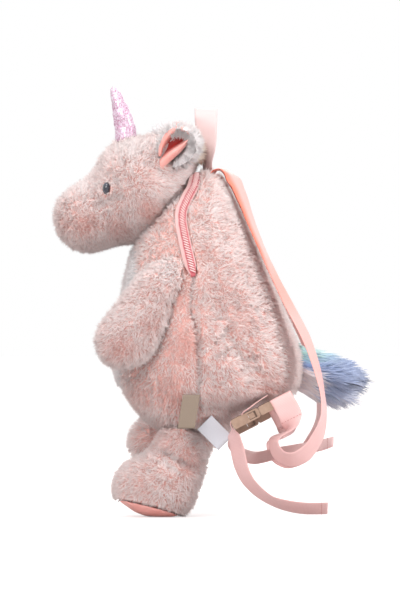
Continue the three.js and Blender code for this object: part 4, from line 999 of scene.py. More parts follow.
def strip_mesh(name, strip):
    """A closed flat strip with rounded edges, from a Strip."""
    shares = [math.sin(math.pi / 2 * s) for s in np.linspace(-1, 1, SECTION)]
    points, along, across, inner, faces = [], [], [], [], []
    for row in range(len(strip.along)):
        towards = 1 if strip.rows[row, -1, 1] < strip.rows[row, 0, 1] else -1
        for face, order in ((1, shares), (-1, shares[-2:0:-1])):
            for share in order:
                here, out = strip.spot(row, share)
                rise = strip.thickness / 2 * (1 - abs(share) ** 10) ** 0.5
                points.append(here + out * rise * face)
                along.append(strip.along[row])
                across.append(share * strip.width / 2)
                inner.append((1 + share * towards) / 2)
    ring = 2 * SECTION - 2
    for row in range(len(strip.along) - 1):
        for s in range(ring):
            a, b = row * ring + s, row * ring + (s + 1) % ring
            faces.append((a, b, b + ring, a + ring))
    last = (len(strip.along) - 1) * ring
    faces += [tuple(reversed(range(ring))), tuple(range(last, last + ring))]
    mesh = bpy.data.meshes.new(name)
    mesh.from_pydata([tuple(p) for p in points], [], faces)
    shape = bmesh.new()
    shape.from_mesh(mesh)
    bmesh.ops.recalc_face_normals(shape, faces=shape.faces)
    shape.to_mesh(mesh)
    shape.free()
    smooth_shaded(mesh)
    put_number(mesh, "along", along)
    put_number(mesh, "across", across)
    put_number(mesh, "inner", inner)
    return show(bpy.data.objects.new(name, mesh))


# %% [markdown]
# ## Woven finishes
# Webbing, ribbon and label cloth differ in the pitch of their threads. One function raises ribs along
# and across the strip from the two stored numbers, and tints the low threads darker.


# %% Woven materials
def woven(name, tints, rib, thread, roughness, depth, sheen=0.15, border=None, flush=None):
    """tints are low and high threads and a slow patch of wear; rib and thread are pitches in mm.

    The last argument is an orange tint of painted shade and bounce light, laid on where the strip's own number
    of the same name asks for it.
    """
    finish, tree, shader = new_finish(name, roughness, Sheen_Weight=sheen, Sheen_Roughness=0.4)
    along = add(tree, "ShaderNodeAttribute", attribute_name="along").outputs["Fac"]
    across = add(tree, "ShaderNodeAttribute", attribute_name="across").outputs["Fac"]
    ribs = calc(tree, "SINE", calc(tree, "MULTIPLY", along, 2 * math.pi / (rib * MM)))
    threads = calc(tree, "SINE", calc(tree, "MULTIPLY", across, 2 * math.pi / (thread * MM)))
    crossing = calc(tree, "MULTIPLY", ribs, threads)
    height = calc(tree, "ADD", calc(tree, "MULTIPLY", crossing, 0.35), calc(tree, "MULTIPLY", ribs, 0.15))
    height = calc(tree, "ADD", height, 0.5)
    base = ramp(tree, height, (0.1, tints[0]), (0.8, tints[1]))
    slow = noise_of(tree, place_of(tree), 30.0, 3.0)
    share = add(tree, "ShaderNodeMapRange", {0: slow, 1: 0.4, 2: 0.75, 3: 0.0, 4: 0.35}).outputs[0]
    base = mix(tree, share, base, tints[2])
    if border:
        edge = calc(tree, "GREATER_THAN", calc(tree, "ABSOLUTE", across), border[0] * MM)
        base = mix(tree, edge, base, border[1])
    if flush:
        # painted shade and bounce light: an orange tint laid on by the strip's own number
        warm_shade_share = add(tree, "ShaderNodeAttribute", attribute_name="flush").outputs["Fac"]
        base = mix(tree, warm_shade_share, base, flush)
    tree.links.new(base, shader.inputs["Base Color"])
    raise_by(tree, shader, height, depth * MM)
    return finish


webbing_finish = woven(
    "pink webbing",
    (colour(218, 172, 170), colour(238, 200, 198), colour(232, 184, 181)),
    rib=1.5,
    thread=1.3,
    roughness=0.45,
    depth=0.18,
    border=(11.6, colour(228, 182, 179)),
    # painted shade and bounce light, at the strap's root and along its edge near the torso
    flush=colour(240, 122, 98),
)
ribbon_finish = woven(
    "pale ribbon",
    (colour(210, 182, 181), colour(224, 197, 196), colour(222, 190, 186)),
    rib=0.9,
    thread=1.1,
    roughness=0.45,
    depth=0.1,
)
linen_finish = woven(
    "linen label",
    (colour(122, 106, 93), colour(152, 136, 121), colour(138, 122, 108)),
    rib=0.7,
    thread=0.6,
    roughness=0.8,
    depth=0.14,
)
care_finish = woven(
    "care tape",
    (colour(196, 198, 206), colour(216, 218, 226), colour(206, 208, 216)),
    rib=0.5,
    thread=0.5,
    roughness=0.4,
    depth=0.04,
)

# %% [markdown]
# ## Straps, grab loop and labels
# Each strip starts at the end that is easy to pick out: a webbing tail's far end, the webbing under
# the buckle's bar, the top of the grab loop, or a label's lower edge.

# %% Where each strip starts
WEBBING_THICK = 1.4 * MM
LABEL_THICK = 1.0 * MM
STRIP_STEP = 2.2 * MM
BUCKLE_TILT = math.radians(27)
BUCKLE_ALONG = Vector((0, math.cos(BUCKLE_TILT), math.sin(BUCKLE_TILT)))
BUCKLE_THROUGH = Vector((0, -math.sin(BUCKLE_TILT), math.cos(BUCKLE_TILT)))


def reach(node, way):
    """How far a node's points go in a direction."""
    return points_of(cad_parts[node].data) @ np.array(way)


def at_far_end(node, way, band):
    limit = reach(node, way).max() - band
    return lambda co: co.dot(Vector(way)) > limit


def under_bar(side):
    """Picks the webbing's own end, which comes out under the buckle's bar."""
    end = reach(f"buckle_prong_{side}", BUCKLE_ALONG).max()
    level = reach(f"buckle_prong_{side}", BUCKLE_THROUGH)
    middle = (level.min() + level.max()) / 2
    return lambda co: (
        1.8 * MM < co.dot(BUCKLE_ALONG) - end < 2.3 * MM
        and -6 * MM < co.dot(BUCKLE_THROUGH) - middle < -1.5 * MM
    )


def extended(rings, by, sinking=0.0):
    """Runs a strip's sewn end on into its seam by a length; sinking bends it down."""
    way = (rings[-1] - rings[-2]).mean(axis=0)
    way = way / np.linalg.norm(way) - np.array((0, 0, sinking))
    return rings + [rings[-1] + way / np.linalg.norm(way) * by]


def strip_piece(node, rings, thickness, finish):
    strip = Strip(rings, thickness, STRIP_STEP)
    made = strip_mesh(f"{node}_cloth", strip)
    made.data.materials.append(finish)
    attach(made, "root")
    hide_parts(node)
    print(node, "length:", round(strip.length / MM), "mm")
    return strip


def strap_bounce_share(points, inner):
    """Painted shade and bounce light on the upper straps, as an orange tint: most at the root and along the edge
    near the torso.
    """
    down = LOOP_TOP[1] - points[:, 2] / PIXEL
    root = np.clip((inner - 0.35) / 0.5, 0, 1) * np.clip((310 - down) / 60, 0, 1)
    middle = 0.6 * np.exp(-(((down - 285) / 42) ** 2))
    low = 0.3 * np.clip((410 - down) / 40, 0, 1)
    return np.clip(np.maximum(root, np.maximum(middle, low)), 0, 1)


# %% [markdown]
# ## The sewn tab at each buckle
# Before the buckle the webbing folds over itself and a row of stitches holds the fold. Its path is
# written as a few rings in the buckle's own directions, and the strap's rings are joined on behind.

# %% The tab's rings
TAB_PATH = [
    # along the buckle past its end, above its middle, out from the tab's middle, all in mm
    (13.0, -20.0, -1.3),
    (13.0, -10.0, -2.6),
    (12.5, 0.0, -3.0),
    (12.5, 3.6, -1.8),
    (12.5, 4.7, 0.0),
    (12.5, 3.6, 2.0),
    (12.5, 0.0, 3.4),
    (13.0, -10.0, 3.3),
    (13.0, -18.0, 2.0),
    (12.0, -23.5, 0.4),
    (9.0, -31.0, -2.0),
]
TAB_TURN = [0, 0, 0, 0, 0, 0, 0, 0, 2, 12, 48]  # degrees that the width turns at each of these rings
TAB_SIDE = 97 * MM
TAB_WIDE = 12.8 * MM


def tab_rings(side):
    out = Vector((1 if side == "left" else -1, 0, 0))
    end = reach(f"buckle_prong_{side}", BUCKLE_ALONG).max()
    level = reach(f"buckle_prong_{side}", BUCKLE_THROUGH)
    middle = (level.min() + level.max()) / 2
    rings = []
    for (past, above, proud), degrees in zip(TAB_PATH, TAB_TURN):
        here = BUCKLE_ALONG * (end + past * MM) + BUCKLE_THROUGH * (middle + above * MM)
        here += out * (TAB_SIDE + proud * MM)
        turn = math.radians(degrees)
        wide = (BUCKLE_ALONG * math.cos(turn) + out * math.sin(turn)) * TAB_WIDE
        rings.append(np.array([here - wide, here - wide, here + wide, here + wide]))
    return rings


def behind_tab(rings, side):
    """The strap's rings from where it leaves the tab."""
    level = reach(f"buckle_prong_{side}", BUCKLE_THROUGH)
    middle = (level.min() + level.max()) / 2
    first = next(
        i for i, r in enumerate(rings) if r.mean(axis=0) @ np.array(BUCKLE_THROUGH) < middle - 26 * MM
    )
    print("tab joins at ring", first)
    return rings[first:]


strips = {}
for side in ("left", "right"):
    from_bar = walk(f"strap_upper_{side}", under_bar(side))
    upper = extended(tab_rings(side) + behind_tab(from_bar, side), 7 * MM, sinking=0.9)
    lower = extended(
        walk(f"strap_lower_{side}", at_far_end(f"strap_lower_{side}", (0, 1, 0), 2 * MM)), 4 * MM
    )
    strips[f"strap_upper_{side}"] = strip_piece(
        f"strap_upper_{side}", upper, WEBBING_THICK, webbing_finish
    )
    strips[f"strap_lower_{side}"] = strip_piece(
        f"strap_lower_{side}", lower, WEBBING_THICK, webbing_finish
    )
    upper_mesh = bpy.data.objects[f"strap_upper_{side}_cloth"].data
    inner = np.zeros(len(upper_mesh.vertices), np.float32)
    upper_mesh.attributes["inner"].data.foreach_get("value", inner)
    # painted shade and bounce light: the upper straps turn orange at the root and beside the torso
    put_number(upper_mesh, "flush", strap_bounce_share(points_of(upper_mesh), inner))


def top_half(side):
    """The grab loop's rings from its top down one leg."""
    starts = lambda co: abs(co.x) < 0.5 * MM and co.z > -12 * MM
    rings = walk("grab_loop", starts, side)
    return rings


LOOP_VIEW = [
    # how far down the picture, and the loop's left and right edge there
    (100, 193.5, 218.0),
    (140, 196.5, 217.0),
    (150, 200.5, 215.0),
    (160, 202.8, 212.4),
    (172, 205.0, 209.5),
]


def turned_in(rings):
    """The loop's legs turn nearly edge-on to the side view on their way down to the seam."""
    downs, lefts, rights = (np.array(column) for column in zip(*LOOP_VIEW))
    made = []
    for ring in rings:
        middle = ring.mean(axis=0)
        down = LOOP_TOP[1] - middle[2] / PIXEL
        left, right = np.interp(down, downs, lefts), np.interp(down, downs, rights)
        turn = math.acos(min(1.0, (right - left) * PIXEL / RIBBON_WIDE)) * np.sign(middle[0])
        half = np.array((math.sin(turn), math.cos(turn), 0)) * RIBBON_WIDE / 2
        if down > LOOP_VIEW[1][0]:
            middle[1] = at_point((left + right) / 2, 0)[0]
        made.append(np.array([middle - half, middle - half, middle + half, middle + half]))
    return made


RIBBON_WIDE = 25 * MM


LOOP_SEWN_IN = (9 * MM, 0.6)  # how far its ends run on into the seam, and how steeply they sink
right_leg = extended(turned_in(top_half(-1)), *LOOP_SEWN_IN)
left_leg = extended(turned_in(top_half(1)), *LOOP_SEWN_IN)
loop_rings = right_leg[::-1] + left_leg[1:]
strips["grab_loop"] = strip_piece("grab_loop", loop_rings, WEBBING_THICK, ribbon_finish)
woven_rings = extended(walk("woven_label", at_far_end("woven_label", (0, 0, -1), 0.8 * MM)), 3 * MM)
label_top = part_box("woven_label")[1].z
woven_rings = [r + np.array([0, -1, 0]) * (label_top - r[:, 2:3]) * 0.16 for r in woven_rings]
strips["woven_label"] = strip_piece("woven_label", woven_rings, LABEL_THICK, linen_finish)
CARE_OUT = 3 * MM  # it lies on the pile
care_way = (0, math.sin(math.radians(45)), -math.cos(math.radians(45)))
care_rings = extended(walk("care_label", at_far_end("care_label", care_way, 0.8 * MM)), 8 * MM)
care_rings = [r + np.array([CARE_OUT, 0, 0]) for r in care_rings]
strips["care_label"] = strip_piece("care_label", care_rings, LABEL_THICK, care_finish)

# %% [markdown]
# ## Stitches and zip teeth along a line
# A row of stitches and a row of zip teeth are the same thing to Geometry Nodes: one small shape set
# at even spacing along a line, turned to face out of the cloth. The line carries its own way out.

# %% The row's tree
row_tree, given = new_tree(
    "row", {"Spacing": "Float", "Slant": "Float", "Shape": "Object", "Finish": "Material"}
)
line = add(row_tree, "GeometryNodeMeshToCurve", {0: given["Geometry"]}).outputs[0]
marks = add(
    row_tree, "GeometryNodeResampleCurve", {"Curve": line, "Length": given["Spacing"]}, mode="LENGTH"
).outputs[0]
axes = add(
    row_tree,
    "FunctionNodeAxesToRotation",
    {0: named(row_tree, "out", "FLOAT_VECTOR"), 1: add(row_tree, "GeometryNodeInputTangent").outputs[0]},
    primary_axis="Z",
    secondary_axis="X",
).outputs[0]
slant = add(row_tree, "ShaderNodeCombineXYZ", {2: given["Slant"]}).outputs[0]
slanted = add(row_tree, "FunctionNodeEulerToRotation", {0: slant}).outputs[0]
axes = add(row_tree, "FunctionNodeRotateRotation", {0: axes, 1: slanted}, rotation_space="LOCAL").outputs[0]
shape = add(row_tree, "GeometryNodeObjectInfo", {0: given["Shape"]}).outputs["Geometry"]
placed = add(row_tree, "GeometryNodeInstanceOnPoints", {"Points": marks, "Instance": shape, "Rotation": axes})
solid_row = add(row_tree, "GeometryNodeRealizeInstances", {0: placed.outputs[0]}).outputs[0]
finish_tree(
    row_tree,
    add(row_tree, "GeometryNodeSetMaterial", {0: solid_row, "Material": given["Finish"]}).outputs[0]
)


def pill(name, length, width, height, sides=8, bend=0.0):
    """A rounded bar along X, to be repeated as a stitch or a tooth."""
    points, faces = [], []
    stations = [-1, -0.8, -0.35, 0.35, 0.8, 1]
    for station in stations:
        fat = math.sqrt(max(0.0, 1 - abs(station) ** 3)) * 0.85 + 0.15
        for s in range(sides):
            turn = 2 * math.pi * s / sides
            y, z = math.cos(turn) * width / 2 * fat, math.sin(turn) * height / 2 * fat
            points.append((station * length / 2, y, z - bend * station**2))
    for r in range(len(stations) - 1):
        for s in range(sides):
            a, b = r * sides + s, r * sides + (s + 1) % sides
            faces.append((a, a + sides, b + sides, b))
    last = (len(stations) - 1) * sides
    faces += [tuple(range(sides)), tuple(reversed(range(last, last + sides)))]
    mesh = bpy.data.meshes.new(name)
    mesh.from_pydata(points, [], faces)
    shape = bmesh.new()
    shape.from_mesh(mesh)
    bmesh.ops.recalc_face_normals(shape, faces=shape.faces)
    shape.to_mesh(mesh)
    shape.free()
    smooth_shaded(mesh)
    return show(bpy.data.objects.new(name, mesh))


def run_of(name, points, outs, shape, spacing, finish, slant=0.0):
    """A row of a shape along a line of points, each with its way out."""
    mesh = bpy.data.meshes.new(name)
    edges = [(i, i + 1) for i in range(len(points) - 1)]
    mesh.from_pydata([tuple(p) for p in points], edges, [])
    put_vector(mesh, "out", outs)
    made = show(bpy.data.objects.new(name, mesh))
    run_tree(made, row_tree, Spacing=spacing, Slant=slant, Shape=shape, Finish=finish)
    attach(made, "root")
    return made


STITCH = pill("stitch shape", 2.6 * MM, 0.6 * MM, 0.5 * MM, sides=5, bend=0.15 * MM)
TOOTH = pill("tooth shape", 7.4 * MM, 1.6 * MM, 2.0 * MM, sides=6, bend=0.35 * MM)
SPARE_SHAPES = [SHORT_TUFT, LONG_TUFT, STITCH, TOOTH]

thread_finish, tree, shader = new_finish("pink thread", 0.55)
twist = add(
    tree, "ShaderNodeTexWave", {"Vector": place_of(tree), "Scale": 900.0, "Distortion": 1.0}
).outputs[0]
tree.links.new(ramp(tree, twist, (0.0, colour(176, 92, 90)), (1.0, colour(206, 132, 128))), shader.inputs[0])
raise_by(tree, shader, twist, 0.1 * MM)


# %% Rows of stitches across the strips
STITCHES_APART = 3.2 * MM


def stitched_across(name, strip, from_end, margin=0.85):
    """A row across a strip, a distance in from its sewn end or, if negative, from its free end."""
    target = strip.length - from_end if from_end > 0 else -from_end
    row = int(np.clip(np.searchsorted(strip.along, target), 1, len(strip.along) - 2))
    shares = np.linspace(-margin, margin, 9)
    for face in (1, -1):
        spots = [strip.spot(row, s) for s in shares]
        points = [here + out * face * (strip.thickness / 2 + 0.1 * MM) for here, out in spots]
        outs = [out * face for _, out in spots]
        run_of(f"{name}_{'up' if face > 0 else 'down'}", points, outs, STITCH, STITCHES_APART, thread_finish)


TAB_STITCH = 54 * MM  # from the webbing's end to the row that closes the tab
TAIL_STITCH = 6 * MM  # from the free tail's end to the row that hems it
for side in ("left", "right"):
    stitched_across(f"tab_stitches_{side}", strips[f"strap_upper_{side}"], -TAB_STITCH)
    stitched_across(f"tail_stitches_{side}", strips[f"strap_lower_{side}"], -TAIL_STITCH)

# %% [markdown]
# ## The zip
# A nylon coil shows as slanting teeth, close together, on a woven tape. The coil's solid is cut by a
# fan of planes to find its middle line over the bag's shoulder and down both sides, and the teeth are
# set along that line.

# %% Zip line
FAN_STEPS = 150
coil_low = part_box("zip_coil")[0]
hub = Vector((0, 0, coil_low.z + 1.5 * MM))


def fan_cut(node, turn):
    """Where a plane through the hub, turned about Y, cuts a node: its outermost middle point."""
    way = Vector((math.cos(turn), 0, math.sin(turn)))
    shape = bmesh.new()
    shape.from_mesh(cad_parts[node].data)
    everything = shape.verts[:] + shape.edges[:] + shape.faces[:]
    side_on = Vector((-math.sin(turn), 0, math.cos(turn)))
    cut = bmesh.ops.bisect_plane(shape, geom=everything, plane_co=hub, plane_no=side_on)["geom_cut"]
    found = [v.co.copy() for v in cut if isinstance(v, bmesh.types.BMVert) and (v.co - hub).dot(way) > 0]
    shape.free()
    if not found:
        return None
    far = max((co - hub).dot(way) for co in found)
    near_y, far_y = min(co.y for co in found), max(co.y for co in found)
    return hub + way * far + Vector((0, (near_y + far_y) / 2, 0))


turns = [math.pi * (i + 0.5) / FAN_STEPS for i in range(FAN_STEPS)]
zip_line = [p for p in (fan_cut("zip_coil", t) for t in turns) if p]
zip_points = np.array([p[:] for p in zip_line])
for _ in range(4):
    zip_points[1:-1] = (zip_points[:-2] + zip_points[1:-1] * 2 + zip_points[2:]) / 4
run = np.gradient(zip_points, axis=0)
zip_outs = np.cross(run, (0, 1, 0))
zip_outs *= np.sign((zip_outs * (zip_points - np.array(hub))).sum(1))[:, None]
zip_outs /= np.linalg.norm(zip_outs, axis=1)[:, None]

# %% Zip finishes and teeth
coil_finish, tree, shader = new_finish("pink coil", 0.38, Coat_Weight=0.2)
grain = noise_of(tree, place_of(tree), 300.0)
tree.links.new(
    ramp(tree, grain, (0.3, colour(240, 196, 196)), (0.7, colour(248, 216, 214))), shader.inputs[0]
)
raise_by(tree, shader, grain, 0.1 * MM)
tape_finish, tree, shader = new_finish("pink tape", 0.8, Sheen_Weight=0.1)
where = place_of(tree)
waves = add(
    tree, "ShaderNodeTexWave", {"Vector": where, "Scale": 420.0, "Distortion": 0.6}, bands_direction="Z"
)
cross = add(
    tree, "ShaderNodeTexWave", {"Vector": where, "Scale": 420.0, "Distortion": 0.6}, bands_direction="Y"
)
weave = calc(tree, "MULTIPLY", waves.outputs[1], cross.outputs[1])
low_thread = ramp(tree, weave, (0.0, colour(214, 172, 170)), (0.8, colour(236, 202, 199)))
beside = add(tree, "ShaderNodeAttribute", attribute_name="beside").outputs["Fac"]
# painted shade: the tape is painted dark red under the coil, where it shows between the teeth
shade_under_coil = add(tree, "ShaderNodeMapRange", {0: beside, 1: 3.6 * MM, 2: 5.0 * MM, 3: 1.0, 4: 0.0}).outputs[0]
tree.links.new(mix(tree, shade_under_coil, low_thread, colour(196, 98, 106)), shader.inputs[0])
raise_by(tree, shader, weave, 0.2 * MM)

TEETH_APART, TEETH_SLANT = 3.0 * MM, math.radians(54)
teeth = run_of(
    "zip_teeth", zip_points - zip_outs * 0.5 * MM, zip_outs, TOOTH, TEETH_APART, coil_finish,
    slant=TEETH_SLANT
)
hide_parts("zip_coil")
TAPE_AHEAD, TAPE_BEHIND, TAPE_SUNK = 8 * MM, 5.5 * MM, 2.2 * MM
TAPE_CLOSING = 14 * MM  # over this length at each end the plush closes in on the tape
run /= np.linalg.norm(run, axis=1)[:, None]
tape_across = np.cross(run, zip_outs)
tape_across *= np.sign(-tape_across[:, 1:2])
sunk = zip_points - zip_outs * TAPE_SUNK
sunk = np.vstack([sunk[0] - run[0] * 6 * MM, sunk, sunk[-1] + run[-1] * 6 * MM])
wide = np.vstack([tape_across[:1], tape_across, tape_across[-1:]])
run_on = np.concatenate([[0], np.cumsum(np.linalg.norm(np.diff(sunk, axis=0), axis=1))])
open_share = np.clip(np.minimum(run_on, run_on[-1] - run_on) / TAPE_CLOSING, 0, 1) * 0.65 + 0.35
wide *= open_share[:, None]
tape_rings = [np.array([s + w * TAPE_AHEAD] * 2 + [s - w * TAPE_BEHIND] * 2) for s, w in zip(sunk, wide)]
tape = strip_mesh("zip_tape_cloth", Strip(tape_rings, 1.2 * MM, 3 * MM))
tape_points = points_of(tape.data)
gaps = np.linalg.norm(tape_points[:, None, :] - sunk[None, ::2, :], axis=2).min(axis=1)
put_number(tape.data, "beside", gaps)
tape.data.materials.append(tape_finish)
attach(tape, "root")
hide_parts("zip_tape")

# %% [markdown]
# ## Eyes
# Each eye is a glossy moulded bead pushed into the plush, mottled from nearly black to dark blue-grey. A clear
# coat gives it the small bright glint.

# %% Eyes
eye_finish, tree, shader = new_finish("eye bead", 0.12, Coat_Weight=1.0, Coat_Roughness=0.03)
depth = add(tree, "ShaderNodeTexNoise", {"Vector": place_of(tree), "Scale": 260.0}).outputs[0]
tree.links.new(ramp(tree, depth, (0.35, colour(28, 30, 40)), (0.65, colour(52, 56, 70))), shader.inputs[0])
EYE_SHAPE = (1.0, 0.76, 1.15)
EYE_BACK = Vector((0, 2.0 * MM, 0))
for side in ("left", "right"):
    low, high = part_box(f"eye_{side}")
    bead = bmesh.new()
    bmesh.ops.create_icosphere(bead, subdivisions=4, radius=(high.z - low.z) / 2)
    bmesh.ops.scale(bead, verts=bead.verts, vec=EYE_SHAPE)
    bmesh.ops.translate(bead, verts=bead.verts, vec=(low + high) / 2 + EYE_BACK)
    mesh = bpy.data.meshes.new(f"eye_{side}_bead")
    bead.to_mesh(mesh)
    bead.free()
    smooth_shaded(mesh)
    mesh.materials.append(eye_finish)
    made = show(bpy.data.objects.new(f"eye_{side}_bead", mesh))
    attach(made, "root")
    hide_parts(f"eye_{side}")

# %% [markdown]
# ## Horn
# The horn is a stuffed cone of foil cloth. Its skin is crinkled by a noise along its grooves, and the
# finish sets tiny flakes at random tilts, so that some catch the light as glitter.

# %% Horn
HORN_FULLER = 2.0 * MM  # the stuffing's roundness at the tip
foil_finish, tree, shader = new_finish("glitter foil", 0.34, Metallic=0.35, Coat_Weight=0.2)
where = place_of(tree)
flakes = add(tree, "ShaderNodeTexVoronoi", {"Vector": where, "Scale": 820.0})
pick = add(tree, "ShaderNodeSeparateColor", {0: flakes.outputs["Color"]}).outputs[0]
slow = noise_of(tree, where, 60.0, 3.0)
pale = ramp(tree, slow, (0.35, colour(200, 156, 184)), (0.6, colour(220, 204, 218)))
speck = ramp(
    tree, pick, (0.0, colour(168, 74, 116)), (0.25, colour(208, 156, 186)), (0.7, colour(224, 212, 224))
)
tree.links.new(mix(tree, 0.6, pale, speck), shader.inputs["Base Color"])
raise_by(tree, shader, pick, 0.5 * MM, 0.8)
horn = remeshed(welded("horn", "horn_foil"), 1.2 * MM, 4)
points, normals = points_of(horn.data), normals_of(horn.data)
crinkle = np.array([noise.noise(Vector(p) * 160) + 0.6 * noise.noise(Vector(p) * 330) for p in points])
fuller = HORN_FULLER * (0.5 + 0.5 * (points[:, 2] - points[:, 2].min()) / np.ptp(points[:, 2]))
set_points(horn.data, points + normals * (crinkle * 0.9 * MM + fuller)[:, None])
smooth_shaded(horn.data)
horn.data.materials.append(foil_finish)
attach(horn, "root")
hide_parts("horn")

# %% [markdown]
# ## Ears
# An ear is a folded petal: white plush outside and coral satin inside. The satin is smooth with soft
# puckers towards the fold, where it darkens to red because light bounces between its own walls.

# %% Ears
satin_finish, tree, shader = new_finish("coral satin", 0.42, Sheen_Weight=0.3, Sheen_Roughness=0.3)
where = place_of(tree)
puckers = noise_of(tree, where, 70.0, 2.0)
satin = ramp(tree, puckers, (0.3, colour(236, 158, 148)), (0.7, colour(243, 178, 170)))
folded = add(tree, "ShaderNodeAttribute", attribute_name="fold").outputs["Fac"]
# painted shade: deep in the fold the satin is painted dark red, as light bounces between its walls
deep = add(tree, "ShaderNodeMapRange", {0: folded, 1: 0.25, 2: 0.85, 3: 0.0, 4: 0.92}).outputs[0]
tree.links.new(mix(tree, deep, satin, colour(176, 34, 28)), shader.inputs["Base Color"])
threads = noise_of(tree, where, 1400.0, 1.0)
raise_by(tree, shader, calc(tree, "ADD", puckers, calc(tree, "MULTIPLY", threads, 0.05)), 1.6 * MM, 0.6)
EAR_CURVES = {
    # picture points from the root to the tip; the number is the share across, from -1 below to 1 above
    -1.0: [
        (160.5, 171.5), (165, 167), (169.5, 162.8), (175, 158), (181, 152.6), (185.5, 147.5),
        (189, 142), (191.2, 138)
    ],
    -0.2: [
        (158.6, 159), (163, 154.6), (167.5, 151), (173, 147.2), (178.5, 143.8), (183.5, 141),
        (188, 138.5), (191, 137)
    ],
    0.2: [
        (161.5, 157), (163.5, 150), (167.5, 143), (172, 138), (177, 135.8), (182, 136), (187, 136),
        (191, 136.8)
    ],
    1.0: [
        (158, 157), (158.4, 147), (162, 136.5), (168, 128), (177, 121), (184, 123.5), (189, 130),
        (191, 136.5)
    ],
}
EAR_ROWS, EAR_COLUMNS = 40, 49
EAR_BASE, EAR_SPLAY = 62 * MM, 13 * MM
EAR_BACK_SHIFT = (3.2 * MM, -2.6 * MM)  # the plush shows behind and below the satin
LIP_RISE, FOLD_DEPTH, SATIN_THICK = 10 * MM, 7 * MM, 2.2 * MM


def ear_spot(u, share):
    """A point of the ear's face: its picture place, how far it stands out, and how deep in the fold."""
    keys = sorted(EAR_CURVES)
    at = u * (len(EAR_CURVES[1.0]) - 1)
    knots = np.arange(len(EAR_CURVES[1.0]))
    picture = []
    for axis in (0, 1):
        column = [np.interp(at, knots, [p[axis] for p in EAR_CURVES[key]]) for key in keys]
        picture.append(np.interp(share, keys, column))
    lip = math.sin(math.pi * np.clip((abs(share) - 0.2) / 0.8, 0, 1)) ** 0.75 if abs(share) > 0.2 else 0.0
    fold = max(0.0, 1 - (abs(share) / 0.42) ** 2)
    ends = math.sin(math.pi * (0.1 + 0.85 * u)) ** 0.6
    rise = ends * (LIP_RISE * lip - FOLD_DEPTH * fold)
    y, z = at_point(*picture)
    return (EAR_BASE + EAR_SPLAY * u + rise, y, z), fold * ends


def ear_face(side):
    """A closed folded petal: the satin's face and its back, a little behind it."""
    flip = 1 if side == "left" else -1
    points, folds, faces = [], [], []
    for layer in (0, 1):
        for u in np.linspace(0, 1, EAR_ROWS):
            for share in np.linspace(-1, 1, EAR_COLUMNS):
                (x, y, z), fold = ear_spot(u, share)
                points.append((flip * (x - layer * SATIN_THICK), y, z))
                folds.append(fold)
    size = EAR_ROWS * EAR_COLUMNS
    for r in range(EAR_ROWS - 1):
        for c in range(EAR_COLUMNS - 1):
            a = r * EAR_COLUMNS + c
            face = (a, a + 1, a + 1 + EAR_COLUMNS, a + EAR_COLUMNS)
            faces += [face, tuple(size + i for i in reversed(face))]
    rim = [c for c in range(EAR_COLUMNS)]
    rim += [r * EAR_COLUMNS + EAR_COLUMNS - 1 for r in range(1, EAR_ROWS)]
    rim += [(EAR_ROWS - 1) * EAR_COLUMNS + c for c in range(EAR_COLUMNS - 2, -1, -1)]
    rim += [r * EAR_COLUMNS for r in range(EAR_ROWS - 2, 0, -1)]
    for a, b in zip(rim, rim[1:] + rim[:1]):
        faces.append((b, a, a + size, b + size))
    mesh = bpy.data.meshes.new(f"ear_lining_{side}_satin")
    mesh.from_pydata(points, [], faces)
    put_number(mesh, "fold", folds)
    shape = bmesh.new()
    shape.from_mesh(mesh)
    bmesh.ops.recalc_face_normals(shape, faces=shape.faces)
    shape.to_mesh(mesh)
    shape.free()
    made = show(bpy.data.objects.new(mesh.name, mesh))
    softer = made.modifiers.new("softer", "SMOOTH")
    softer.factor, softer.iterations = 0.5, 5
    return settle(made)


for side in ("left", "right"):
    lining = ear_face(side)
    smooth_shaded(lining.data)
    lining.data.materials.append(satin_finish)
    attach(lining, "root")
    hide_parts(f"ear_lining_{side}")
    back = remeshed(welded(f"ear_{side}", f"ear_{side}_plush"), 1.3 * MM, 6)
    points, normals = points_of(back.data), normals_of(back.data)
    points[:, 1:] += EAR_BACK_SHIFT
    set_points(back.data, points)
    taken = clearance(points + normals * 1.5 * MM, [f"ear_lining_{side}"])
    outer = normals[:, 0] * (1 if side == "left" else -1)
    room = np.where(outer < 0.55, 1.0, np.clip((taken - 1 * MM) / (3 * MM), 0, 1))
    grow(back, 26000, EAR_COAT, (0, 0.7, 0.2), room, seed=41)
    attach(back, "root")
    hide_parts(f"ear_{side}")

# %% [markdown]
# ## Soles
# The feet stand on pads of the same coral satin, sewn round their edge.

# %% Soles
for side in ("left", "right"):
    sole = remeshed(welded(f"sole_{side}", f"sole_{side}_satin"), 2.2 * MM, 8)
    smooth_shaded(sole.data)
    sole.data.materials.append(satin_finish)
    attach(sole, "root")
    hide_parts(f"sole_{side}")

# %% [markdown]
# ## Mane and tail
# Both are long soft hair dyed in pale colours. The same pile grows here with the long curled tuft,
# brushed along the tail and down the neck, and the dye changes with the place on the pack.


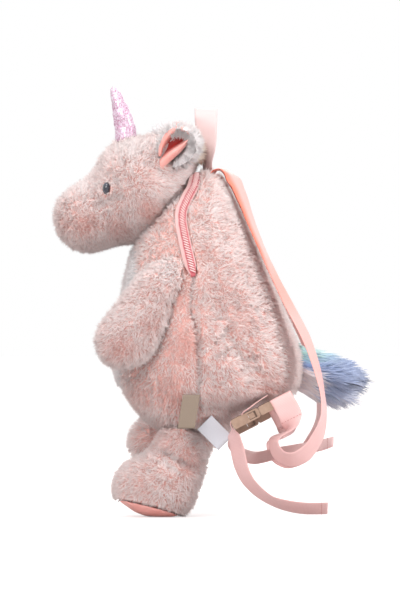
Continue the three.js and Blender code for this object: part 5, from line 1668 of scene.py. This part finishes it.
# %% Long hair
def dyed_hair(name, bands, streak):
    """Long hair whose dye runs in bands along a line in the side view; bands are ramp stops."""
    finish, tree, shader = new_finish(name, 0.6, Sheen_Weight=0.3, Sheen_Roughness=0.5)
    tall = add(tree, "ShaderNodeAttribute", attribute_name="tip").outputs["Fac"]
    tone = add(tree, "ShaderNodeAttribute", attribute_name="tone").outputs["Fac"]
    dye = add(tree, "ShaderNodeAttribute", attribute_name="dye").outputs["Fac"]
    uneven = add(tree, "ShaderNodeMapRange", {0: tone, 1: 0.0, 2: 1.0, 3: -streak, 4: streak}).outputs[0]
    base = ramp(tree, calc(tree, "ADD", dye, uneven), *bands)
    paler = add(tree, "ShaderNodeMapRange", {0: tall, 1: 0.0, 2: 1.0, 3: 0.0, 4: 0.3}).outputs[0]
    tree.links.new(mix(tree, paler, base, colour(244, 244, 248)), shader.inputs["Base Color"])
    raise_by(tree, shader, noise_of(tree, place_of(tree), 700.0), 0.3 * MM, 0.3)
    return finish


tail_hair = dyed_hair(
    "tail hair",
    (
        (0.0, colour(176, 218, 212)),
        (0.12, colour(146, 186, 208)),
        (0.34, colour(110, 136, 186)),
        (0.62, colour(132, 152, 196)),
        (0.82, colour(202, 208, 230)),
        (1.0, colour(244, 234, 236)),
    ),
    0.07,
)
mane_hair = dyed_hair(
    "mane hair",
    (
        (0.0, colour(240, 232, 232)),
        (0.35, colour(246, 240, 240)),
        (0.6, colour(236, 234, 240)),
        (0.8, colour(248, 232, 210)),
        (1.0, colour(248, 222, 196)),
    ),
    0.1,
)
TAIL_COAT = {
    "tuft": LONG_TUFT,
    "length": 22.0,
    "width": 1.7,
    "lean": 3.4,
    "wander": 0.45,
    "clumps": 45.0,
    "clumping": 1.5,
    "soft": 0.5,
    "skin": tail_hair,
    "pile": tail_hair,
}
MANE_COAT = {
    **TAIL_COAT, "length": 11.0, "width": 1.5, "lean": 0.9, "wander": 0.6, "skin": mane_hair,
    "pile": mane_hair
}


def haired(node, cell, inset, triangles, coat, nap, dye, seed):
    made = remeshed(welded(node, f"{node}_hair"), cell, 6)
    points, normals = points_of(made.data), normals_of(made.data)
    points -= normals * inset
    if node == "tail":
        points[:, 1] = tail_low.y - TAIL_SEWN_IN + (points[:, 1] - tail_low.y) * TAIL_SHORTER
    set_points(made.data, points)
    put_number(made.data, "dye", dye(points))
    taken = clearance(
        points, TORSO + (["head", "grab_loop", "ear_left", "ear_right"] if node == "mane" else [])
    )
    grow(made, triangles, coat, nap, np.clip(taken / (4 * MM) + 0.15, 0, 1), seed, swirl=0.4)
    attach(made, "root")
    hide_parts(node)
    return made


tail_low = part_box("tail")[0]
TAIL_SHORTER = 0.86  # the hair then reaches the tail's real end
TAIL_SEWN_IN = 4 * MM
TAIL_TOP, TAIL_END = np.array(at_point(308, 345)), np.array(at_point(374, 376))


def tail_dye(points):
    """Mint at the top of the root, blue, then pale at the tip; a nearly white tuft under the root."""
    side_view = points[:, 1:] - TAIL_TOP
    line = (TAIL_END - TAIL_TOP) / np.linalg.norm(TAIL_END - TAIL_TOP)
    along = side_view @ line / np.linalg.norm(TAIL_END - TAIL_TOP)
    below = (side_view @ np.array((line[1], -line[0]))) / (40 * MM)
    below = np.clip(below, 0, 1.2)
    tuft = np.clip((below - 0.45) / 0.3, 0, 1) * np.clip((0.34 - along) / 0.16, 0, 1)
    return np.clip(along * 0.78 + 0.32 * below**1.5 + tuft, 0, 1)


tail = haired("tail", 3 * MM, 5 * MM, 70000, TAIL_COAT, (0, 0.95, -0.31), tail_dye, 51)
mane_low, mane_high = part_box("mane")
haired(
    "mane", 2 * MM, 2.5 * MM, 50000, MANE_COAT, (0, 0.5, -0.5),
    lambda p: np.clip((p[:, 1] - mane_low.y) / (mane_high.y - mane_low.y), 0, 1),
    52,
)

# %% [markdown]
# ## Buckles
# The side-release buckles are moulded in beige plastic. The solids already have the true shape, so
# each is kept as it is and only has its edges eased by a bevel, as a mould leaves them.

# %% Buckles
plastic_finish, tree, shader = new_finish("beige plastic", 0.42, Coat_Weight=0.1)
where = place_of(tree)
mottled = noise_of(tree, where, 120.0, 3.0)
tree.links.new(
    ramp(tree, mottled, (0.3, colour(146, 117, 100)), (0.7, colour(168, 140, 121))), shader.inputs[0]
)
raise_by(tree, shader, noise_of(tree, where, 1600.0, 2.0), 0.05 * MM, 0.5)
for side in ("left", "right"):
    for half in ("socket", "prong"):
        node = f"buckle_{half}_{side}"
        made = welded(node, f"{node}_moulded")
        eased = made.modifiers.new("eased edges", "BEVEL")
        eased.width, eased.segments, eased.limit_method = 0.8 * MM, 3, "ANGLE"
        eased.angle_limit = math.radians(35)
        settle(made)
        made.data.materials.append(plastic_finish)
        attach(made, "root")
        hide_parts(node)

# %% [markdown]
# ## Spare shapes
# The shapes that were only repeated are removed.

# %% Finish
for spare in SPARE_SHAPES:
    bpy.data.objects.remove(spare)
